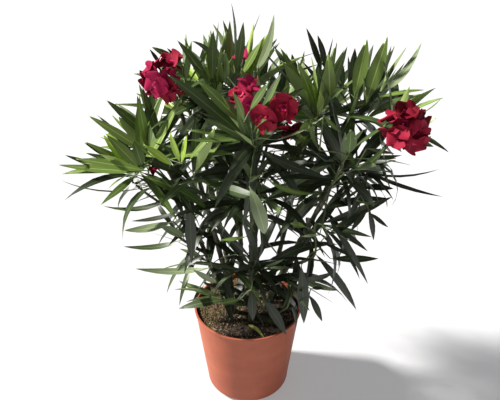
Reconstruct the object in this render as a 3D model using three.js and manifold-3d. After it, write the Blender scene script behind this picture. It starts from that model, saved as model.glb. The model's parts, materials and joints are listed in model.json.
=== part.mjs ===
// A young oleander (Nerium oleander) in a round tapered nursery pot.
// Millimetres, +Z up. The origin is the centre of the pot's flat underside, and -Y is the side with
// the most bloom. Stems rise from the compost, side boughs leave them, and every limb ends inside a
// mass of foliage. The masses are uneven lobed solids that share the crown's room between them.
import * as THREE from "three";
import { mergeVertices } from "three/addons/utils/BufferGeometryUtils.js";
import Module from "manifold-3d";

const wasm = await Module();
wasm.setup();

// ---- driving sizes -------------------------------------------------------------------------------
const GAP = 0.3; // room kept between neighbouring solids

const POT = {
  height: 215,
  rimRadius: 120,
  footRadius: 92,
  wall: 2.2,
  floor: 3,
  heel: 16, // radius of the rounded edge between foot and wall
  lipHeight: 9,
  lipOut: 2,
  lipRound: 1,
  sides: 32, // flats round the wall
  drainSides: 8,
  drainHoles: 6,
  drainRadius: 6,
  drainCircle: 58,
};

const COMPOST = {
  belowRim: 8,
  edgeDrop: 3, // how far the surface falls away at the wall
  edgeWidth: 14,
};

const LIMB = {
  flare: 0.4, // extra radius where a stem meets the compost
  flareHeight: 22,
  entry: 9, // how deep a limb's tip sits inside its mass
  ringSpacing: 50,
  sides: 6,
  boughDip: 0.1, // how far a bough sags below its straight line, over its length
};

const MASS = {
  detail: { youngLeaf: 2, matureLeaf: 2, oldLeaf: 1 }, // subdivisions; the inner masses are plainer
  sprays: 10,
  sprayRise: 0.36, // how far a spray of leaves stands out, over the mass's own radius
  hollow: 0.26, // how far the surface draws in between sprays
  spraySharpness: 8,
  lowest: POT.height + 6, // nothing in the crown hangs lower than this
};

const COLOUR = {
  pot: 0xb96a4d,
  compost: 0x3b2f24,
  stem: 0x5c5a3c,
  bough: 0x5f6b3a,
  youngLeaf: 0x5f8f2c,
  matureLeaf: 0x355f26,
  oldLeaf: 0x24401f,
};

// Masses of foliage: centre, and half extents along X, Y and Z.
const MASSES = {
  left_tip: { at: [-240, -102, 616], half: [116, 84, 62], leaf: "matureLeaf" },
  left_head: { at: [-204, 36, 640], half: [98, 88, 80], leaf: "matureLeaf" },
  left_front: { at: [-116, -138, 636], half: [72, 84, 76], leaf: "youngLeaf" },
  left_bloom: { at: [-130, -44, 752], half: [66, 76, 70], leaf: "matureLeaf" },
  top_left: { at: [-66, 8, 752], half: [70, 80, 90], leaf: "matureLeaf" },
  top_centre: { at: [2, 60, 758], half: [72, 78, 102], leaf: "youngLeaf" },
  centre_bloom: { at: [20, -142, 722], half: [84, 86, 84], leaf: "matureLeaf" },
  centre_back: { at: [70, 150, 668], half: [74, 80, 80], leaf: "matureLeaf" },
  right_top: { at: [124, 4, 732], half: [68, 82, 98], leaf: "youngLeaf" },
  right_head: { at: [210, 34, 724], half: [92, 88, 96], leaf: "youngLeaf" },
  right_bloom: { at: [282, -78, 686], half: [70, 78, 74], leaf: "matureLeaf" },
  right_front: { at: [160, -142, 634], half: [84, 82, 74], leaf: "matureLeaf" },
  right_arm: { at: [282, 36, 544], half: [112, 80, 60], leaf: "oldLeaf" },
  right_skirt: { at: [182, -60, 418], half: [92, 80, 98], leaf: "oldLeaf" },
  right_foot: { at: [112, -74, 296], half: [66, 58, 66], leaf: "oldLeaf" },
  left_skirt: { at: [-176, -52, 470], half: [106, 80, 74], leaf: "oldLeaf" },
  left_foot: { at: [-132, -34, 322], half: [98, 62, 58], leaf: "oldLeaf" },
  left_low: { at: [-64, -62, 262], half: [46, 40, 36], leaf: "oldLeaf" },
  inner_front: { at: [6, -132, 552], half: [100, 74, 84], leaf: "oldLeaf" },
  inner_back: { at: [6, 92, 530], half: [96, 70, 84], leaf: "oldLeaf" },
  inner_low: { at: [22, -62, 356], half: [74, 60, 76], leaf: "oldLeaf" },
  back_left: { at: [-136, 194, 636], half: [96, 94, 90], leaf: "matureLeaf" },
  back_top: { at: [-12, 236, 690], half: [82, 92, 92], leaf: "youngLeaf" },
  back_right: { at: [156, 212, 622], half: [94, 92, 86], leaf: "matureLeaf" },
  back_skirt: { at: [-76, 200, 452], half: [92, 80, 74], leaf: "oldLeaf" },
  back_low: { at: [96, 150, 404], half: [84, 76, 74], leaf: "oldLeaf" },
};

// Stems: foot on the compost, foot radius, points passed on the way up, and the mass at the tip.
// Each side bough leaves its stem at a share of the stem's length and ends in a mass of its own.
const STEMS = {
  stem_left: {
    foot: [-57, 26],
    radius: 6.2,
    via: [[-84, 14, 320], [-128, 6, 470]],
    tip: "left_head",
    boughs: { bough_left_tip: [0.58, "left_tip"], bough_left_skirt: [0.36, "left_skirt"] },
  },
  stem_left_bloom: {
    foot: [-34, -16],
    radius: 6.6,
    via: [[-60, -22, 380], [-104, -26, 590]],
    tip: "left_bloom",
    boughs: {
      bough_left_front: [0.6, "left_front"],
      bough_left_foot: [0.12, "left_foot"],
      bough_left_low: [0.05, "left_low"],
    },
  },
  stem_centre: {
    foot: [9, -42],
    radius: 7,
    via: [[8, -50, 400], [12, -78, 560]],
    tip: "centre_bloom",
    boughs: { bough_inner_front: [0.62, "inner_front"], bough_inner_low: [0.16, "inner_low"] },
  },
  stem_top: {
    foot: [-14, 34],
    radius: 6.8,
    via: [[-16, 34, 400], [-12, 40, 580]],
    tip: "top_centre",
    boughs: { bough_top_left: [0.6, "top_left"], bough_inner_back: [0.46, "inner_back"] },
  },
  stem_right: {
    foot: [46, -6],
    radius: 7.2,
    via: [[96, -10, 360], [152, -6, 490]],
    tip: "right_head",
    boughs: {
      bough_right_top: [0.62, "right_top"],
      bough_right_front: [0.56, "right_front"],
      bough_right_skirt: [0.26, "right_skirt"],
    },
  },
  stem_right_bloom: {
    foot: [62, 34],
    radius: 6.6,
    via: [[118, 36, 350], [204, 16, 500]],
    tip: "right_bloom",
    boughs: { bough_right_arm: [0.55, "right_arm"] },
  },
  stem_back_left: {
    foot: [-40, 62],
    radius: 6.4,
    via: [[-60, 96, 350], [-94, 138, 500]],
    tip: "back_left",
    boughs: { bough_back_skirt: [0.4, "back_skirt"] },
  },
  stem_back: {
    foot: [16, 72],
    radius: 6.8,
    via: [[16, 104, 370], [6, 152, 540]],
    tip: "back_top",
    boughs: { bough_centre_back: [0.52, "centre_back"] },
  },
  stem_back_right: {
    foot: [56, 66],
    radius: 6,
    via: [[84, 104, 340], [116, 148, 480]],
    tip: "back_right",
    boughs: { bough_back_low: [0.3, "back_low"] },
  },
  stem_low: {
    foot: [44, -50],
    radius: 4.6,
    via: [[62, -58, 236]],
    tip: "right_foot",
    boughs: {},
  },
};

// ---- solids and meshes ---------------------------------------------------------------------------
const compostTop = POT.height - COMPOST.belowRim;
const vec = (p) => new THREE.Vector3(...p);

// A three.js geometry as a manifold-3d solid, with shared corners merged and empty faces dropped.
function solid(geometry) {
  const bare = geometry.clone();
  bare.deleteAttribute("normal");
  bare.deleteAttribute("uv");
  const merged = mergeVertices(bare, 1e-3);
  const corners = [...merged.index.array];
  const kept = [];
  for (let i = 0; i < corners.length; i += 3) {
    const face = corners.slice(i, i + 3);
    const differs = new Set(face).size === 3;
    if (differs) kept.push(...face);
  }
  const vertProperties = new Float32Array(merged.attributes.position.array);
  const triVerts = new Uint32Array(kept);
  return new wasm.Manifold(new wasm.Mesh({ numProp: 3, vertProperties, triVerts }));
}

// The largest single body of a solid, for when a cut leaves crumbs.
function mainBody(cut) {
  return cut.decompose().reduce((best, body) => (body.volume() > best.volume() ? body : best));
}

function geometryOf(made) {
  const { numProp, vertProperties, triVerts, numVert } = made.getMesh();
  const corners = new Float32Array(numVert * 3);
  for (let i = 0; i < numVert; i++) {
    corners.set(vertProperties.subarray(i * numProp, i * numProp + 3), i * 3);
  }
  const geometry = new THREE.BufferGeometry();
  geometry.setAttribute("position", new THREE.BufferAttribute(corners, 3));
  geometry.setIndex(new THREE.BufferAttribute(triVerts, 1));
  return geometry;
}

function mesh(name, made, colour, roughness) {
  const material = new THREE.MeshStandardMaterial({ color: COLOUR[colour], roughness, metalness: 0 });
  const piece = new THREE.Mesh(geometryOf(made), material);
  piece.name = name;
  return piece;
}

// ---- pot and compost -----------------------------------------------------------------------------
const wallSlope = (POT.rimRadius - POT.lipOut - POT.footRadius) / POT.height;
const wallRadius = (z) => POT.footRadius + wallSlope * z;

// A profile of [radius, height] pairs that starts and ends on the axis, turned about Z.
function turned(profile) {
  const outline = profile.map(([radius, z]) => new THREE.Vector2(radius, z));
  return solid(new THREE.LatheGeometry(outline, POT.sides).rotateX(Math.PI / 2));
}

function arc(centreRadius, centreZ, radius, from, to, steps) {
  return Array.from({ length: steps + 1 }, (_, i) => {
    const angle = THREE.MathUtils.degToRad(from + ((to - from) * i) / steps);
    return [centreRadius + radius * Math.cos(angle), centreZ + radius * Math.sin(angle)];
  });
}

function potSolid() {
  const lipBase = POT.height - POT.lipHeight;
  const heelCentre = wallRadius(POT.heel) - POT.heel;
  const innerHeel = POT.heel - POT.wall;
  const body = turned([
    [0, 0],
    ...arc(heelCentre, POT.heel, POT.heel, -90, 0, 4),
    [wallRadius(lipBase), lipBase],
    [wallRadius(lipBase) + POT.lipOut, lipBase + POT.lipOut],
    ...arc(POT.rimRadius - POT.lipRound, POT.height - POT.lipRound, POT.lipRound, 0, 90, 2),
    [wallRadius(POT.height) - POT.wall, POT.height],
    ...arc(heelCentre, POT.floor + innerHeel, innerHeel, 0, -90, 3),
    [0, POT.floor],
  ]);
  const hole = new THREE.CylinderGeometry(POT.drainRadius, POT.drainRadius, 4 * POT.floor, POT.drainSides);
  hole.rotateX(Math.PI / 2);
  const holes = Array.from({ length: POT.drainHoles }, (_, i) => {
    const turn = (2 * Math.PI * i) / POT.drainHoles;
    const at = [POT.drainCircle * Math.cos(turn), POT.drainCircle * Math.sin(turn), 0];
    return solid(hole.clone().translate(...at));
  });
  return holes.reduce((pot, drain) => pot.subtract(drain), body);
}

function compostSolid() {
  const innerHeel = POT.heel - POT.wall - GAP;
  const heelCentre = wallRadius(POT.heel) - POT.heel;
  const edge = wallRadius(compostTop) - POT.wall - 2 * GAP;
  return turned([
    [0, POT.floor + GAP],
    ...arc(heelCentre - GAP, POT.floor + GAP + innerHeel, innerHeel, -90, 0, 3),
    [edge, compostTop - COMPOST.edgeDrop],
    [edge - COMPOST.edgeWidth, compostTop],
    [0, compostTop],
  ]);
}

// ---- masses of foliage ---------------------------------------------------------------------------
// A repeatable stream of numbers from 0 to 1 (mulberry32).
function stream(seed) {
  let state = seed >>> 0;
  return () => {
    state = (state + 0x6d2b79f5) >>> 0;
    let t = Math.imul(state ^ (state >>> 15), 1 | state);
    t = (t + Math.imul(t ^ (t >>> 7), 61 | t)) ^ t;
    return ((t ^ (t >>> 14)) >>> 0) / 4294967296;
  };
}

const masses = Object.entries(MASSES).map(([name, given], index) => {
  const random = stream(index * 101 + 7);
  const goldenTurn = Math.PI * (3 - Math.sqrt(5));
  const sprays = Array.from({ length: MASS.sprays }, (_, i) => {
    const rise = 1 - (1.7 * (i + random())) / MASS.sprays; // most sprays point up and out, a few hang
    const level = Math.sqrt(Math.max(0, 1 - rise * rise));
    const turn = goldenTurn * i + random();
    return new THREE.Vector3(level * Math.cos(turn), level * Math.sin(turn), rise);
  });
  return { name, centre: vec(given.at), half: vec(given.half), leaf: given.leaf, sprays };
});
const massNamed = (name) => masses.find((mass) => mass.name === name);

// The radius of the mass's plain ellipsoid in a direction.
const plainReach = (mass, direction) => 1 / direction.clone().divide(mass.half).length();

// How far the mass reaches in a direction: its sprays stand out of the ellipsoid, and each
// neighbour's plane and the lowest level cut it short.
function reach(mass, direction) {
  const nearest = Math.max(...mass.sprays.map((spray) => spray.dot(direction)), 0);
  const swell = MASS.sprayRise * Math.exp(MASS.spraySharpness * (nearest - 1));
  let far = plainReach(mass, direction) * (1 - MASS.hollow + swell);
  for (const other of masses) {
    if (other === mass) continue;
    const apart = other.centre.clone().sub(mass.centre);
    const distance = apart.length();
    const toOther = apart.divideScalar(distance);
    const facing = direction.dot(toOther);
    if (facing <= 0) continue;
    const own = plainReach(mass, toOther);
    const share = own / (own + plainReach(other, toOther));
    far = Math.min(far, (distance * share - GAP / 2) / facing);
  }
  if (direction.z < 0) far = Math.min(far, (mass.centre.z - MASS.lowest) / -direction.z);
  return far;
}

function massSolid(mass) {
  const ball = new THREE.IcosahedronGeometry(1, MASS.detail[mass.leaf]);
  const corners = ball.attributes.position;
  for (let i = 0; i < corners.count; i++) {
    const direction = new THREE.Vector3().fromBufferAttribute(corners, i).normalize();
    const corner = direction.clone().multiplyScalar(reach(mass, direction)).add(mass.centre);
    corners.setXYZ(i, ...corner);
  }
  return solid(ball);
}

// ---- limbs ---------------------------------------------------------------------------------------
// How far along a curve, from 0 to 1, it first lies deep enough inside a mass.
function entryInto(mass, curve) {
  for (let u = 0; u <= 1; u += 0.01) {
    const away = curve.getPointAt(u).sub(mass.centre);
    const distance = away.length();
    if (distance < reach(mass, away.normalize()) - LIMB.entry) return u;
  }
  return 1;
}

// A tapering limb: rings of corners along a curve, closed by a fan at each end. grown thickens it,
// which makes the cutter that leaves room round it.
function limbSolid(limb, grown = 0) {
  const { curve, end, radius, tipRadius, onCompost } = limb;
  const { sides } = LIMB;
  const length = curve.getLength() * end;
  const steps = Math.max(4, Math.round(length / LIMB.ringSpacing));
  const levels = Array.from({ length: steps + 1 }, (_, i) => (end * i) / steps);
  const flareTop = LIMB.flareHeight / curve.getLength();
  if (onCompost) levels.splice(1, 0, flareTop * 0.35, flareTop);
  const corners = [];
  let across = new THREE.Vector3(1, 0, 0);
  levels.forEach((u, level) => {
    const tangent = curve.getTangentAt(u);
    across = across.sub(tangent.clone().multiplyScalar(across.dot(tangent))).normalize();
    const over = tangent.clone().cross(across);
    const flare = onCompost ? 1 + LIMB.flare * Math.exp((-u / flareTop) * 1.6) : 1;
    const here = THREE.MathUtils.lerp(radius, tipRadius, u / end) * flare + grown;
    const middle = curve.getPointAt(u);
    if (level === levels.length - 1) middle.addScaledVector(tangent, grown);
    for (let side = 0; side < sides; side++) {
      const turn = (2 * Math.PI * side) / sides;
      const corner = middle.clone();
      corner.addScaledVector(across, here * Math.cos(turn));
      corner.addScaledVector(over, here * Math.sin(turn));
      if (onCompost && level === 0) corner.z = middle.z - grown;
      corners.push(corner);
    }
  });
  const faces = [];
  for (let level = 0; level < levels.length - 1; level++) {
    for (let side = 0; side < sides; side++) {
      const [a, b] = [level * sides + side, level * sides + ((side + 1) % sides)];
      faces.push(a, b, b + sides, a, b + sides, a + sides);
    }
  }
  const last = corners.length - sides;
  for (let side = 1; side < sides - 1; side++) {
    faces.push(0, side + 1, side, last, last + side, last + side + 1);
  }
  const geometry = new THREE.BufferGeometry().setFromPoints(corners);
  geometry.setIndex(faces);
  return solid(geometry);
}

function stemLimb(name, given) {
  const foot = vec([...given.foot, compostTop + GAP]);
  const above = foot.clone().setZ(foot.z + LIMB.flareHeight);
  const mass = massNamed(given.tip);
  const passed = [foot, above, ...given.via.map(vec), mass.centre];
  const curve = new THREE.CatmullRomCurve3(passed, false, "centripetal");
  return {
    name,
    curve,
    mass,
    end: entryInto(mass, curve),
    radius: given.radius,
    tipRadius: given.radius * 0.52,
    onCompost: true,
    colour: "stem",
  };
}

function boughLimb(name, stem, leavesAt, tip) {
  const mass = massNamed(tip);
  const from = stem.curve.getPointAt(leavesAt * stem.end);
  const bend = from.clone().lerp(mass.centre, 0.5);
  bend.z -= LIMB.boughDip * from.distanceTo(mass.centre);
  const curve = new THREE.QuadraticBezierCurve3(from, bend, mass.centre);
  const radius = THREE.MathUtils.lerp(stem.radius, stem.tipRadius, leavesAt) * 0.8;
  return {
    name,
    curve,
    mass,
    end: entryInto(mass, curve),
    radius,
    tipRadius: radius * 0.62,
    onCompost: false,
    colour: "bough",
  };
}

const limbs = Object.entries(STEMS).flatMap(([name, given]) => {
  const stem = stemLimb(name, given);
  const boughs = Object.entries(given.boughs).map(([bough, [at, tip]]) => boughLimb(bough, stem, at, tip));
  return [stem, ...boughs];
});

// ---- the whole plant -----------------------------------------------------------------------------
const plant = new THREE.Group();
plant.add(mesh("pot", potSolid(), "pot", 0.55));
plant.add(mesh("compost", compostSolid(), "compost", 0.95));

const room = []; // the limbs so far, each thickened by the gap
for (const limb of limbs) {
  const cut = room.reduce((left, cutter) => left.subtract(cutter), limbSolid(limb));
  plant.add(mesh(limb.name, mainBody(cut), limb.colour, 0.8));
  room.push(limbSolid(limb, GAP));
}
for (const mass of masses) {
  const cut = room.reduce((left, cutter) => left.subtract(cutter), massSolid(mass));
  plant.add(mesh(`leaves_${mass.name}`, mainBody(cut), mass.leaf, 0.7));
}

export default plant;
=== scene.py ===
import json
import math
import random
from dataclasses import dataclass

import bmesh
import bpy
from mathutils import Matrix, Vector, noise


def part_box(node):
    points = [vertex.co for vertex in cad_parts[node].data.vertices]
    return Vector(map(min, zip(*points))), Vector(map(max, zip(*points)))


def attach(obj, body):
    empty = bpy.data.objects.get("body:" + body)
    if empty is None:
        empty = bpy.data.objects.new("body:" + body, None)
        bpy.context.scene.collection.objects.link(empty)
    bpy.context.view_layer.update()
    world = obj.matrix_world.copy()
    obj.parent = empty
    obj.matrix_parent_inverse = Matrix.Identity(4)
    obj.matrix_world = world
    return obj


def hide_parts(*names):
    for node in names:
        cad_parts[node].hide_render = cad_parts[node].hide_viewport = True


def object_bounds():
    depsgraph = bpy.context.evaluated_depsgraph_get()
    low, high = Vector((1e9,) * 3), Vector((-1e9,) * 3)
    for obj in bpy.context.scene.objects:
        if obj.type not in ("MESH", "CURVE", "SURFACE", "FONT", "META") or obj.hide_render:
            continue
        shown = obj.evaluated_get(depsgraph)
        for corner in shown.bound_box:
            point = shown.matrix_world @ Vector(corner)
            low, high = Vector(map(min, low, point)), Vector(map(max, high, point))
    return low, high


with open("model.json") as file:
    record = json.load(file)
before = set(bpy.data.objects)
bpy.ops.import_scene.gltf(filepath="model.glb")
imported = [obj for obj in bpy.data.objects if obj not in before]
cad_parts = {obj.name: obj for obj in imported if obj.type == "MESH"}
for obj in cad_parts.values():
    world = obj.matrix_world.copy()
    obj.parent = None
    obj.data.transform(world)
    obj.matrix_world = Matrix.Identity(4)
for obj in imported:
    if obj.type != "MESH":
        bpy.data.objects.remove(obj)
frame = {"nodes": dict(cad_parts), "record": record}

cad_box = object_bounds()
POT_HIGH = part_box("pot")[1]

UP = Vector((0, 0, 1))
FRONT = Vector((0, -1, 0))
MM = 0.001
GOLDEN_TURN = math.pi * (3 - math.sqrt(5))  # spreads shoots or flowers evenly round an axis

# Where each random run starts. To all but the lone leaves' one, the number of the limb, truss or kind
# of scrap is added.
SEEDS = {"shoots": 100, "old_leaves": 300, "lone_leaves": 77, "trusses": 700, "scraps": 40, "strewing": 11}


# ---- building geometry node trees ------------------------------------------------------------------
def pick(sockets, key):
    """A node's socket by its place, or the one in use that has a name."""
    if isinstance(key, int):
        return sockets[key]
    return next(s for s in sockets if s.name == key and s.enabled)


class Tree:
    """A geometry node tree with named inputs."""

    def __init__(self, name, **inputs):
        self.group = bpy.data.node_groups.new(name, "GeometryNodeTree")
        sides = self.group.interface
        sides.new_socket("Geometry", in_out="INPUT", socket_type="NodeSocketGeometry")
        self.identifiers = {}
        for label, kind in inputs.items():
            socket = sides.new_socket(label, in_out="INPUT", socket_type="NodeSocket" + kind)
            self.identifiers[label] = socket.identifier
        sides.new_socket("Geometry", in_out="OUTPUT", socket_type="NodeSocketGeometry")
        self.entry = self.group.nodes.new("NodeGroupInput")

    def add(self, kind, feeds=(), out=0, **settings):
        """A new node's output, with its properties set and its inputs fed."""
        node = self.group.nodes.new(kind)
        for key, value in settings.items():
            setattr(node, key, value)
        for key, value in dict(feeds).items():
            socket = pick(node.inputs, key)
            if isinstance(value, Field):
                self.group.links.new(value.socket, socket)
            else:
                socket.default_value = value
        return Field(self, pick(node.outputs, out))

    def given(self, label):
        return Field(self, pick(self.entry.outputs, label))

    def attribute(self, name, kind="FLOAT"):
        return self.add("GeometryNodeInputNamedAttribute", {"Name": name}, data_type=kind)

    def split(self, field):
        """The X, Y and Z of a vector."""
        node = self.group.nodes.new("ShaderNodeSeparateXYZ")
        self.group.links.new(field.socket, node.inputs[0])
        return [Field(self, socket) for socket in node.outputs]

    def finish(self, geometry):
        node = self.group.nodes.new("NodeGroupOutput")
        self.group.links.new(geometry.socket, node.inputs[0])
        return self


class Field:
    """A value that flows through a tree, with plain arithmetic on it."""

    def __init__(self, tree, socket):
        self.tree = tree
        self.socket = socket
        self.vector = socket.type == "VECTOR"

    def worked(self, operation, *others):
        values = [self, *others]
        vectors = [v.vector if isinstance(v, Field) else isinstance(v, tuple) for v in values]
        if not any(vectors):
            return self.tree.add("ShaderNodeMath", enumerate(values), operation=operation)
        if operation == "MULTIPLY" and not all(vectors):
            vector, scale = (values[0], values[1]) if vectors[0] else (values[1], values[0])
            feeds = {0: vector, "Scale": scale}
            return self.tree.add("ShaderNodeVectorMath", feeds, operation="SCALE")
        return self.tree.add("ShaderNodeVectorMath", enumerate(values), operation=operation)

    def __add__(self, other):
        return self.worked("ADD", other)

    def __sub__(self, other):
        return self.worked("SUBTRACT", other)

    def __mul__(self, other):
        return self.worked("MULTIPLY", other)

    def __truediv__(self, other):
        return self.worked("DIVIDE", other)

    def cross(self, other):
        return self.worked("CROSS_PRODUCT", other)

    def sin(self):
        return self.worked("SINE")

    def cos(self):
        return self.worked("COSINE")

    def size(self):
        return self.worked("ABSOLUTE")

    def equals(self, number):
        feeds = {"A": self, "B": number}
        return self.tree.add("FunctionNodeCompare", feeds, data_type="INT", operation="EQUAL")


# ---- objects and meshes ----------------------------------------------------------------------------
def linked(name, data):
    """A new object in the scene, for a mesh, a lamp or a camera."""
    thing = bpy.data.objects.new(name, data)
    bpy.context.scene.collection.objects.link(thing)
    return thing


def made_plain(name, source):
    """The plain mesh that an object's modifiers make of it; the object goes."""
    depsgraph = bpy.context.evaluated_depsgraph_get()
    mesh = bpy.data.meshes.new_from_object(source.evaluated_get(depsgraph), depsgraph=depsgraph)
    mesh.name = name
    bpy.data.objects.remove(source)
    return mesh


def grown(name, tree, start, **inputs):
    """The plain mesh that a tree grows out of a starting mesh."""
    source = linked(name + "_start", start)
    modifier = source.modifiers.new("growth", "NODES")
    modifier.node_group = tree.group
    for label, value in inputs.items():
        modifier[tree.identifiers[label]] = value
    mesh = made_plain(name, source)
    drop_unused_finishes(mesh)
    return mesh


def drop_unused_finishes(mesh):
    """Leaves a mesh only the material slots that its faces use."""
    used = sorted({face.material_index for face in mesh.polygons})
    finishes = [mesh.materials[i] for i in used]
    places = {old: new for new, old in enumerate(used)}
    moved = [places[face.material_index] for face in mesh.polygons]
    mesh.materials.clear()
    for finish in finishes:
        mesh.materials.append(finish)
    mesh.polygons.foreach_set("material_index", moved)
    mesh.update()


def placed(name, mesh, nodes=()):
    """A finished piece of the plant or pot, in place of the nodes that it stands for."""
    piece = linked(name, mesh)
    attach(piece, "root")
    if nodes:
        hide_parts(*nodes)
    return piece


# ---- finishes --------------------------------------------------------------------------------------
def new_finish(name, colour, roughness, **sockets):
    """A material and its nodes: a shader with plain colour and gloss."""
    finish = bpy.data.materials.new(name)
    finish.use_nodes = True
    shader = finish.node_tree.nodes["Principled BSDF"]
    shader.inputs["Base Color"].default_value = (*colour, 1)
    shader.inputs["Roughness"].default_value = roughness
    for label, value in sockets.items():
        shader.inputs[label.replace("_", " ")].default_value = value
    return finish


def wire(finish, kind, feeds=(), **settings):
    """A node in a finish, with its inputs fed by sockets or values."""
    node = finish.node_tree.nodes.new(kind)
    for key, value in settings.items():
        setattr(node, key, value)
    for key, value in dict(feeds).items():
        socket = pick(node.inputs, key)
        if isinstance(value, bpy.types.NodeSocket):
            finish.node_tree.links.new(value, socket)
        else:
            socket.default_value = value
    return node


def mottle(finish, scale, stretch=(1, 1, 1), detail=4.0, roughness=0.6):
    """Noise on the object's own coordinates, at so many lumps to the metre."""
    place = wire(finish, "ShaderNodeTexCoord").outputs["Object"]
    mapped = wire(finish, "ShaderNodeMapping", {"Vector": place, "Scale": stretch}).outputs[0]
    feeds = {"Vector": mapped, "Scale": scale, "Detail": detail, "Roughness": roughness}
    return wire(finish, "ShaderNodeTexNoise", feeds).outputs[0]


def ramp(finish, factor, stops):
    """Colours or greys dealt along a 0 to 1 factor."""
    node = wire(finish, "ShaderNodeValToRGB", {"Fac": factor})
    elements = node.color_ramp.elements
    while len(elements) < len(stops):
        elements.new(1)
    for element, (place, colour) in zip(elements, stops):
        element.position = place
        element.color = (*colour, 1) if isinstance(colour, tuple) else (colour, colour, colour, 1)
    return node.outputs[0]


def blended(finish, factor, first, second):
    """The first colour where the factor is 0, and the second where it is 1."""
    feeds = {"Factor": factor, "A": first, "B": second}
    return pick(wire(finish, "ShaderNodeMix", feeds, data_type="RGBA").outputs, "Result")


def to_shader(finish, label, socket):
    """Feeds one of the shader's inputs."""
    shader = finish.node_tree.nodes["Principled BSDF"]
    finish.node_tree.links.new(socket, shader.inputs[label])


def raised(finish, height, depth, strength=1.0):
    """Bump on a finish: height is 0 to 1, depth is in metres."""
    feeds = {"Height": height, "Distance": depth, "Strength": strength}
    to_shader(finish, "Normal", wire(finish, "ShaderNodeBump", feeds).outputs[0])


# Leaf tones from the newest growth to the oldest, a leaf about to drop, and a painted sheen.
# Lime, the newest growth, is also made bright to paint the glow of light through backlit leaves;
# deep and dark, the older leaves, are also painted shade on leaves low and inside the crown; and
# the last tone is a painted sheen: pale grey-green where a glossy leaf would reflect the light.
# The colours are of the upper side, the under side and the midrib.
LEAF_TONES = {
    # Partly painted light: bright enough to stand for light shining through backlit leaves.
    "lime": ((0.27, 0.42, 0.035), (0.38, 0.50, 0.13), (0.48, 0.58, 0.16)),
    "fresh": ((0.145, 0.225, 0.042), (0.28, 0.38, 0.12), (0.34, 0.44, 0.13)),
    "mid": ((0.084, 0.140, 0.029), (0.20, 0.27, 0.10), (0.22, 0.30, 0.09)),
    "deep": ((0.045, 0.074, 0.021), (0.13, 0.175, 0.075), (0.14, 0.19, 0.06)),
    # Partly painted shade: given to leaves low and inside the crown.
    "dark": ((0.020, 0.030, 0.012), (0.050, 0.070, 0.034), (0.06, 0.085, 0.033)),
    "ageing": ((0.34, 0.36, 0.10), (0.40, 0.42, 0.16), (0.48, 0.50, 0.22)),
    # Painted sheen: pale colour where a glossy leaf would reflect the light.
    "painted_sheen": ((0.22, 0.28, 0.14), (0.26, 0.32, 0.17), (0.34, 0.40, 0.22)),
}
LIME, FRESH, MID, DEEP, DARK, AGEING, PAINTED_SHEEN = range(len(LEAF_TONES))
LEAF_ROUGHNESS = (0.39, 0.55, 0.44)
LEAF_PARTS = ("upper", "under", "rib")

# Petal tones: face and back. Blood is the dark red of some buds, and painted shade on flowers that sit in
# shadow.
PETAL_TONES = {
    "crimson": ((0.29, 0.011, 0.034), (0.21, 0.008, 0.027)),
    "rose": ((0.39, 0.013, 0.072), (0.29, 0.012, 0.055)),
    "blood": ((0.16, 0.004, 0.013), (0.11, 0.004, 0.011)),
    "pink": ((0.70, 0.07, 0.20), (0.60, 0.10, 0.22)),
}
CRIMSON, ROSE, BLOOD, PINK = range(len(PETAL_TONES))
PETAL_PARTS = ("face", "back")


def leaf_finish(name, colour, roughness):
    finish = new_finish(name, colour, roughness, Specular_IOR_Level=0.48)
    raised(finish, mottle(finish, 420, detail=2.0), 0.15 * MM, 0.5)
    return finish


def petal_finish(name, colour):
    finish = new_finish(name, colour, 0.7, Specular_IOR_Level=0.12)
    raised(finish, mottle(finish, 520, detail=2.0), 0.2 * MM, 0.5)
    return finish


def leaf_finishes():
    """A finish for each part of a leaf, for each tone."""
    return [
        [leaf_finish(f"leaf_{tone}_{part}", colour, gloss)
         for part, colour, gloss in zip(LEAF_PARTS, colours, LEAF_ROUGHNESS)]
        for tone, colours in LEAF_TONES.items()
    ]


def petal_finishes():
    """A finish for each side of a petal, for each tone."""
    return [
        [petal_finish(f"petal_{tone}_{part}", colour) for part, colour in zip(PETAL_PARTS, colours)]
        for tone, colours in PETAL_TONES.items()
    ]


def bark_finish():
    """Grey-green bark with brown patches and a lengthwise grain."""
    finish = new_finish("stem_bark", (0.13, 0.12, 0.055), 0.72)
    grain = mottle(finish, 70, (1, 1, 0.16), 6.0)
    patches = mottle(finish, 16, (1, 1, 0.5), 3.0)
    grey_green = ramp(finish, grain, [(0.3, (0.020, 0.027, 0.010)), (0.7, (0.062, 0.072, 0.026))])
    brown = ramp(finish, grain, [(0.3, (0.024, 0.018, 0.010)), (0.72, (0.100, 0.078, 0.043))])
    where = ramp(finish, patches, [(0.48, 0.0), (0.70, 1.0)])
    to_shader(finish, "Base Color", blended(finish, where, grey_green, brown))
    to_shader(finish, "Roughness", ramp(finish, grain, [(0.3, 0.82), (0.7, 0.62)]))
    raised(finish, grain, 0.8 * MM, 0.8)
    return finish


def shoot_finish():
    finish = new_finish("shoot_green", (0.10, 0.15, 0.03), 0.5)
    grain = mottle(finish, 120, (1, 1, 0.25), 3.0)
    stops = [(0.3, (0.036, 0.060, 0.015)), (0.7, (0.110, 0.155, 0.036))]
    to_shader(finish, "Base Color", ramp(finish, grain, stops))
    raised(finish, grain, 0.3 * MM, 0.6)
    return finish


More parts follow.
